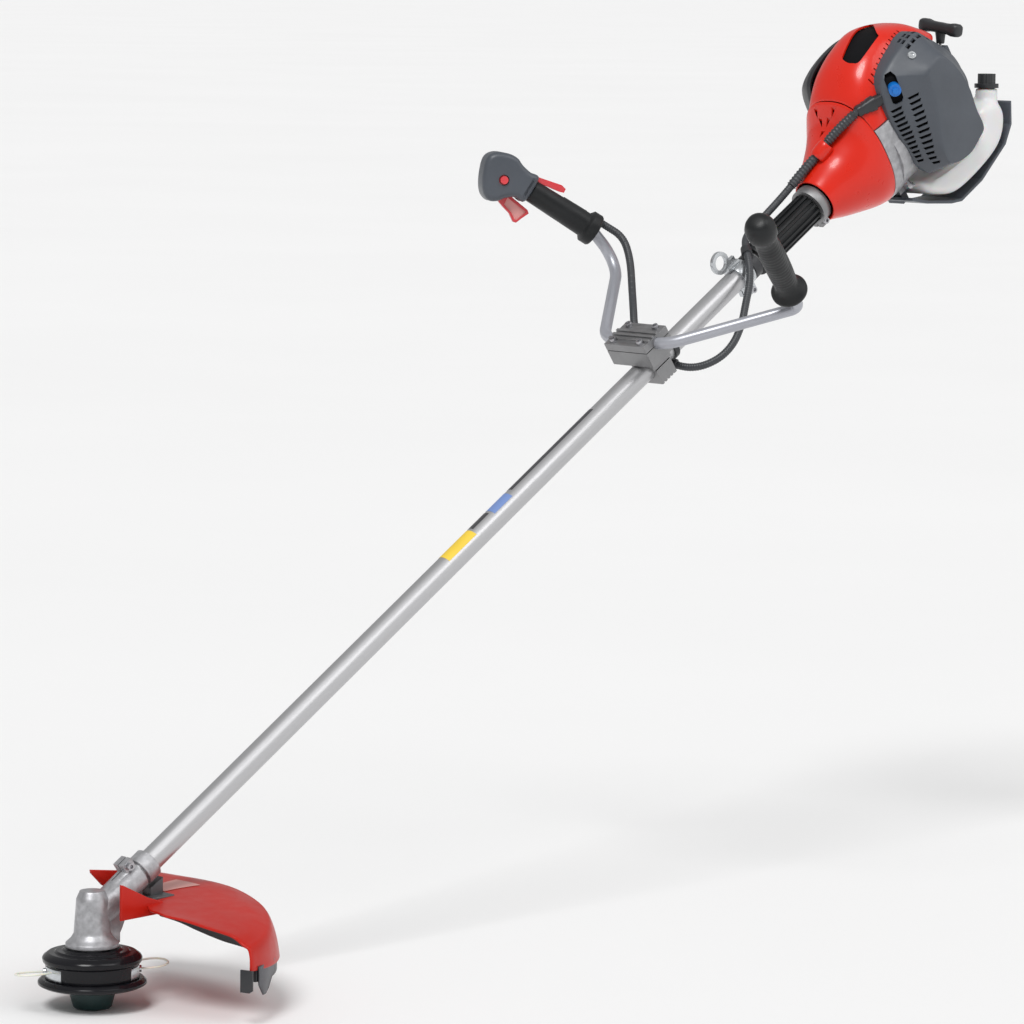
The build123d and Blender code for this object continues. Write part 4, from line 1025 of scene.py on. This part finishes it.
plate_piece(
    "guard_lip_near", [(16, 104), (16, 146), (20, 145), (55, 127), (88, 116), (112, 115), (112, 108), (86, 106)],
    -34, -30, 1.2, "guard_red")
plate_piece(
    "guard_lip_far", [(22, 150), (22, 154), (66, 148), (96, 128), (112, 118), (112, 108), (84, 112), (38, 134)],
    30, 34, 1.2, "guard_red")
saddle = from_rings("guard_saddle", pillow_rings(
    [(62, 113), (62, 118.3), (118, 118.3), (118, 113)], -31, 31, 1.0, plain, steps=2))
dress(saddle, "guard_red", shade=40)


def arc_band(name, spans, inner, outer, look, stands_for=()):
    """A curved strip about the head's axis: spans are (angle towards -Y, lower and upper edge)."""
    rings = []
    for angle, low, high in catmull(spans, 6):
        section = ((inner, low), (outer, low), (outer, high), (inner, high))
        rings.append([round_head(angle, r, z) for r, z in section])
    obj = from_rings(name, rings)
    bevel = obj.modifiers.new("edge", "BEVEL")
    bevel.width = 0.0006
    bevel.segments = 2
    bevel.limit_method = "ANGLE"
    bake(obj)
    dress(obj, look, stands_for=stands_for, shade=40)


arc_band("guard_strip", [(-30, 68, 80), (-23, 62.5, 73), (-16, 55, 68), (-8, 49, 66), (0, 46.5, 66), (20, 46, 66),
                         (44, 46, 66), (58, 47, 66), (67, 50, 67)], 208.8, 212.9, "black_plastic",
         stands_for=["guard_skirt"])


def at_edge(angle):
    """The upright plane through the head's axis: (outwards, across, up)."""
    turn = math.radians(-angle)
    c, s = math.cos(turn), math.sin(turn)
    return lambda x, y, z: Vector((x * c - y * s, x * s + y * c, z)) / 1000


plate_piece("knife_plate", [(201, 40), (201, 66), (217, 66), (217, 43), (213, 40)], -1.6, 1.6, 0.6, "black_plastic",
            at_edge(71), slot="zinc", stands_for=["line_knife"])
knife_rings = []
for radius in (213.2, 213.6, 215.2, 215.6):
    outline = [(66.5, 68), (52, 68), (53, 54), (58.5, 38), (61, 33), (63, 33), (66, 46)]
    edge_in = 0.5 if radius in (213.2, 215.6) else 0.0
    knife_rings.append([round_head(angle, radius, z) for angle, z in inset(outline, edge_in)])
skin_of("knife_blade", knife_rings, "dark_steel", slot="zinc", shade=30)

# ---- throttle head and trigger ----
HEAD_PROFILE = [
    (94, -17), (94, 17), (108, 18), (121, 20.5), (131, 24.5), (144, 23.5), (160, 16), (166, 3), (158, -20),
    (147, -36), (135, -41), (125, -36), (118, -27), (107, -19),
]
head = from_rings("throttle_head", pillow_rings(catmull(HEAD_PROFILE, 5, closed=True), -21, 21, 8, in_throttle))
boolean(head, [
    box_tool(in_throttle, (84, -5.2, -48), (127, 5.2, -12)),
    box_tool(in_throttle, (90, -6.2, 8.5), (106, 6.2, 34)),
    from_rings("tool", lathe_rings([(84, 7.7), (111, 7.7)], THROTTLE_BASE, THROTTLE_TIP - THROTTLE_BASE)),
    from_rings("tool", lathe_rings(
        [(9, 6.9), (23, 6.9)], in_throttle(133, 0, -9), in_throttle(0, 1, 0) - in_throttle(0, 0, 0)))])
dress(head, "grey_plastic", slot=slot_of["throttle_shell_front"],
      stands_for=["throttle_shell_front", "throttle_shell_rear"], shade=38)

TRIGGER = [
    (123, -14), (124, -34), (113, -37.5), (101, -40.5), (91, -47), (87, -46), (84, -38), (79, -27), (83, -24),
    (108, -21), (112, -14)]
trigger = from_rings("trigger_rim", pillow_rings(TRIGGER, -4, 4, 1.2, in_throttle, steps=3))
pocket = [(114, -24), (113, -34.5), (100, -38), (91, -43.5), (88, -42.5), (86, -36), (83, -27.5)]
boolean(trigger, [
    from_rings("tool", [[in_throttle(x, y, z) for x, z in pocket] for y in (1.0, 9.0)]),
    from_rings("tool", [[in_throttle(x, y, z) for x, z in pocket] for y in (-9.0, -1.0)])])
dress(trigger, "red_trim", "trigger", stands_for=["throttle_trigger"], shade=38)
skin_of("trigger_web", [[in_throttle(x, y, z) for x, z in inset(pocket, 0.1)] for y in (-1.6, 1.6)],
        "pale_trim", "trigger", slot="red_trim")

# ---- plain grip: a moulded rubber with a bulb, a ribbed waist and a flange ----
PLAIN_BASE = Vector((0.949, -0.180, 0.798))
PLAIN_TIP = Vector((0.822, -0.247, 0.891))
plain_length = (PLAIN_TIP - PLAIN_BASE).length * 1000 + 6
profile = [(2, 7.7), (2, 19), (3, 21.5), (5.5, 23), (8.5, 23), (10.5, 22), (12.5, 19), (16, 16.3), (22, 14.9)]
WAIST = (24, plain_length - 42)
WAIST_STEPS = 54
for i in range(WAIST_STEPS + 1):
    t = i / WAIST_STEPS
    swell = 14.8 + 1.5 * math.sin(math.pi * min(1, max(0, t * 1.08)))
    groove = 0.35 if i % 3 == 0 and 3 < i < WAIST_STEPS - 2 else 0.0
    profile.append((WAIST[0] + (WAIST[1] - WAIST[0]) * t, swell - groove))
end = plain_length
profile += [(end - 38, 15.2), (end - 35, 16.8), (end - 31, 18.6), (end - 26, 19.4), (end - 16, 19.5), (end - 9, 17.2),
            (end - 4, 14.4), (end - 1.2, 10.5), (end, 4.0), (end, 0.4)]
grip_axis = PLAIN_TIP - PLAIN_BASE
skin_of("plain_grip", lathe_rings(profile, PLAIN_BASE, grip_axis, 64), "rubber_black", stands_for=["left_grip"],
        shade=45)

# ---- starter handle and the rope that follows it ----
HANDLE = from_shaft(1718, -20, 67.2)
TILT = math.radians(7.0)
handle_axis = Vector((0, -math.cos(TILT), -math.sin(TILT)))
handle_side = handle_axis.cross(Vector((1, 0, 0)))
handle_rings = []
for step, half_wide, half_high in (
        (-34, 5.0, 5.0), (-33, 7.2, 7.2), (-30, 8.8, 8.6), (-23, 9.0, 8.8), (-17, 8.0, 7.4), (-8, 7.8, 7.0),
        (0, 8.0, 7.2), (8, 7.8, 7.0), (17, 8.0, 7.4), (23, 9.0, 8.8), (30, 8.8, 8.6), (33, 7.2, 7.2), (34, 5.0, 5.0)):
    corners = [squared(turn, 0.6) for turn in turns_of(32)]
    handle_rings.append([
        HANDLE + (handle_axis * step + Vector((half_wide * c, 0, 0)) + handle_side * (half_high * s)) / 1000
        for c, s in corners])
grip = from_rings("pull_grip", handle_rings)
boolean(grip, [from_rings("stem", lathe_rings(
    [(-21, 4.6), (-19.5, 5.6), (-14, 6.0), (-7, 7.0), (0, 7.2)], HANDLE, (0, 0, 1), 32))], "UNION")
dress(grip, "black_plastic", "pull_handle", slot=slot_of["starter_handle"], stands_for=["starter_handle"], shade=45)
rope_line = [ROPE_EXIT.lerp(HANDLE - Vector((0, 0, 0.0205)), i / 60) for i in range(61)]
rope = from_rings("pull_rope", tube_rings(rope_line, lambda i: 0.002 - 0.00025 * (i % 2), 12))
rope.data.materials.append(finishes["rope_white"])
smooth(rope, 60)
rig.slot(rope, "rope_white")
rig.replaces(rope, "starter_rope")
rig.blend(rope, "machine", "pull_handle", rope_line[2], rope_line[-3])

# ---- cable clips, boot and the bridge over the conduit ----
def ring_piece(name, u0, u1, inner, outer, look, slot):
    half = (u1 - u0) / 2
    profile = [(-half, inner), (-half, outer - 0.6), (-half + 0.6, outer), (half - 0.6, outer), (half, outer - 0.6),
               (half, inner)]
    rings = lathe_rings(profile + [profile[0]], from_shaft((u0 + u1) / 2, 0, 0), ALONG_SHAFT)
    return skin_of(name, rings, look, slot=slot, caps=False)


def loop_round_cable(name, u_at, look):
    """A short sleeve round the conduit where it passes a station."""
    near = nearest(u_at)
    points = conduit_line[near - 7:near + 8]
    rings = tube_rings(points, lambda i: 0.0072 if 0 < i < 14 else 0.0062, 24)
    return skin_of(name, rings, look, slot="black_plastic")


bracket = ring_piece("bracket_ring", 82, 100, 14.1, 18.6, "cast_alloy", "cast_alloy")
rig.replaces(bracket, "guard_bracket")
# the block and pad are the bracket's cast alloy, darkened as painted shade of the well where they sit
plate_piece("bracket_block", [(79, 119), (79, 131), (88, 137), (98, 142), (98, 119)], -8, 8, 1.5, "bracket_gray",
            slot="cast_alloy")
plate_piece("bracket_pad", [(72, 118.7), (72, 122.6), (104, 122.6), (104, 118.7)], -21, 21, 1.2, "bracket_gray",
            slot="cast_alloy")

plate_piece("gearcase_web", [(6, 73), (35.5, 73), (36, 112), (10, 112)], -8, 8, 2.5, "cast_alloy")

clip_rear = ring_piece("clip_rear", 1268, 1282, 14.1, 17.5, "black_plastic", slot_of["cable_clips"])
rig.replaces(clip_rear, "cable_clips")
ring_piece("clip_front", 1098, 1106, 14.1, 17, "black_plastic", slot_of["cable_clips"])
loop_round_cable("clip_rear_loop", 1275, "black_plastic")
loop_round_cable("clip_front_loop", 1102, "black_plastic")

boot_rings = []
for share, wide, tall in ((0, 6.2, 6.2), (0.06, 7.2, 7.2), (0.14, 7.4, 7.6), (0.2, 6.8, 7.0), (0.28, 7.8, 8.4),
                          (0.36, 7.4, 8.0), (0.44, 8.6, 9.4), (0.62, 9.0, 10.0), (0.64, 6.8, 8.0), (0.9, 6.4, 7.6),
                          (1.0, 6.0, 7.0)):
    spot = Vector((1506, -45, 81)).lerp(Vector((1546, -60, 77)), share)
    axis = Vector((40, -15, -4)).normalized()
    side = Vector((-axis.y, axis.x, 0)).normalized()
    upright_side = axis.cross(side)
    corners = [squared(turn, 0.7) for turn in turns_of(28)]
    boot_rings.append([from_shaft(*(spot + side * wide * c + upright_side * tall * s)) for c, s in corners])
skin_of("cable_boot", boot_rings, "black_plastic", slot=slot_of["cable_clips"], shade=45)

near = nearest(1457)
bridge_line = [point - UP_SHAFT * 2.5 for point in conduit_line[near - 14:near + 15]]
bridge = from_rings("cable_bridge", tube_rings(
    bridge_line, lambda i: 0.0112 - 0.0016 * (abs(i - 14) / 14) ** 4, 40))
dress(bridge, "orange_red", shade=50)

# ---- plain label patches, without text, just over the surface ----
LABEL_OUTSIDE, LABEL_INSIDE = 14.22, 14.04  # millimetres, on a tube of 14
LABEL_STEPS = 24


def tube_patch(name, u0, u1, turns, look):
    """A patch between two stations; turns are its two edges, in degrees from +Y over the top."""
    angles = [math.radians(turns[0] + (turns[1] - turns[0]) * i / LABEL_STEPS) for i in range(LABEL_STEPS + 1)]
    outline = [(LABEL_OUTSIDE, t) for t in angles] + [(LABEL_INSIDE, t) for t in reversed(angles)]
    rings = [[from_shaft(u, r * math.cos(t), r * math.sin(t)) for r, t in outline] for u in (u0, u1)]
    skin_of(name, rings, look, slot="tube_silver", shade=50)


tube_patch("tube_patch_yellow", 655, 708, (10, 138), "label_yellow")
tube_patch("tube_patch_blue", 747, 782, (10, 128), "label_blue")
tube_patch("tube_patch_dark_short", 712, 743, (46, 102), "label_dark")
tube_patch("tube_patch_dark_long", 790, 954, (46, 98), "label_dark")

# ---- floor, light and camera ----
mesh = bpy.data.meshes.new("floor")
grid = bmesh.new()
bmesh.ops.create_circle(grid, cap_ends=True, radius=150.0, segments=96)
grid.to_mesh(mesh)
grid.free()
floor = place(mesh, "floor")
floor.location.z = -0.0005
floor.data.materials.append(
    finish_of("floor_paper", (0.86, 0.86, 0.86), 0.9, drift=0.01, drift_size=2.0, grain=0.02, grain_size=0.01))
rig.stage(floor)

world = bpy.data.worlds.new("studio")
world.use_nodes = True
world.node_tree.nodes["Background"].inputs["Color"].default_value = (1.0, 1.0, 1.0, 1.0)
world.node_tree.nodes["Background"].inputs["Strength"].default_value = 0.42
bpy.context.scene.world = world
bpy.context.scene.view_settings.view_transform = "Standard"


def sun(name, direction, strength, spread):
    lamp = bpy.data.lights.new(name, "SUN")
    lamp.energy = strength
    lamp.angle = math.radians(spread)
    obj = place(lamp, name)
    obj.rotation_mode = "QUATERNION"
    obj.rotation_quaternion = Vector(direction).to_track_quat("Z", "Y")


sun("key", (-0.75, -0.45, 1.1), 1.95, 22)
sun("sheen", (0.10, -0.64, 0.76), 0.45, 30)
sun("fill", (0.8, -0.9, 0.6), 0.5, 60)

YAW, PITCH, ROLL = math.radians(-42.456), math.radians(6.541), math.radians(0.539)
back = Vector((math.sin(YAW) * math.cos(PITCH), -math.cos(YAW) * math.cos(PITCH), math.sin(PITCH)))
level = Vector((math.cos(YAW), math.sin(YAW), 0.0))
upright = back.cross(level)
right = level * math.cos(ROLL) + upright * math.sin(ROLL)
up = upright * math.cos(ROLL) - level * math.sin(ROLL)
camera = place(bpy.data.cameras.new("camera"), "camera")
camera.data.sensor_width = 36.0
camera.data.lens = 172.92
camera.data.clip_end = 400.0
camera.matrix_world = Matrix.Translation((-3.4106, -4.4376, 1.2196)) @ Matrix((right, up, back)).transposed().to_4x4()
bpy.context.scene.camera = camera

visual_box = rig.bounds()
with open("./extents.json", "w") as out:
    json.dump({"cad": [list(v) for v in cad_box], "visual": [list(v) for v in visual_box]}, out)
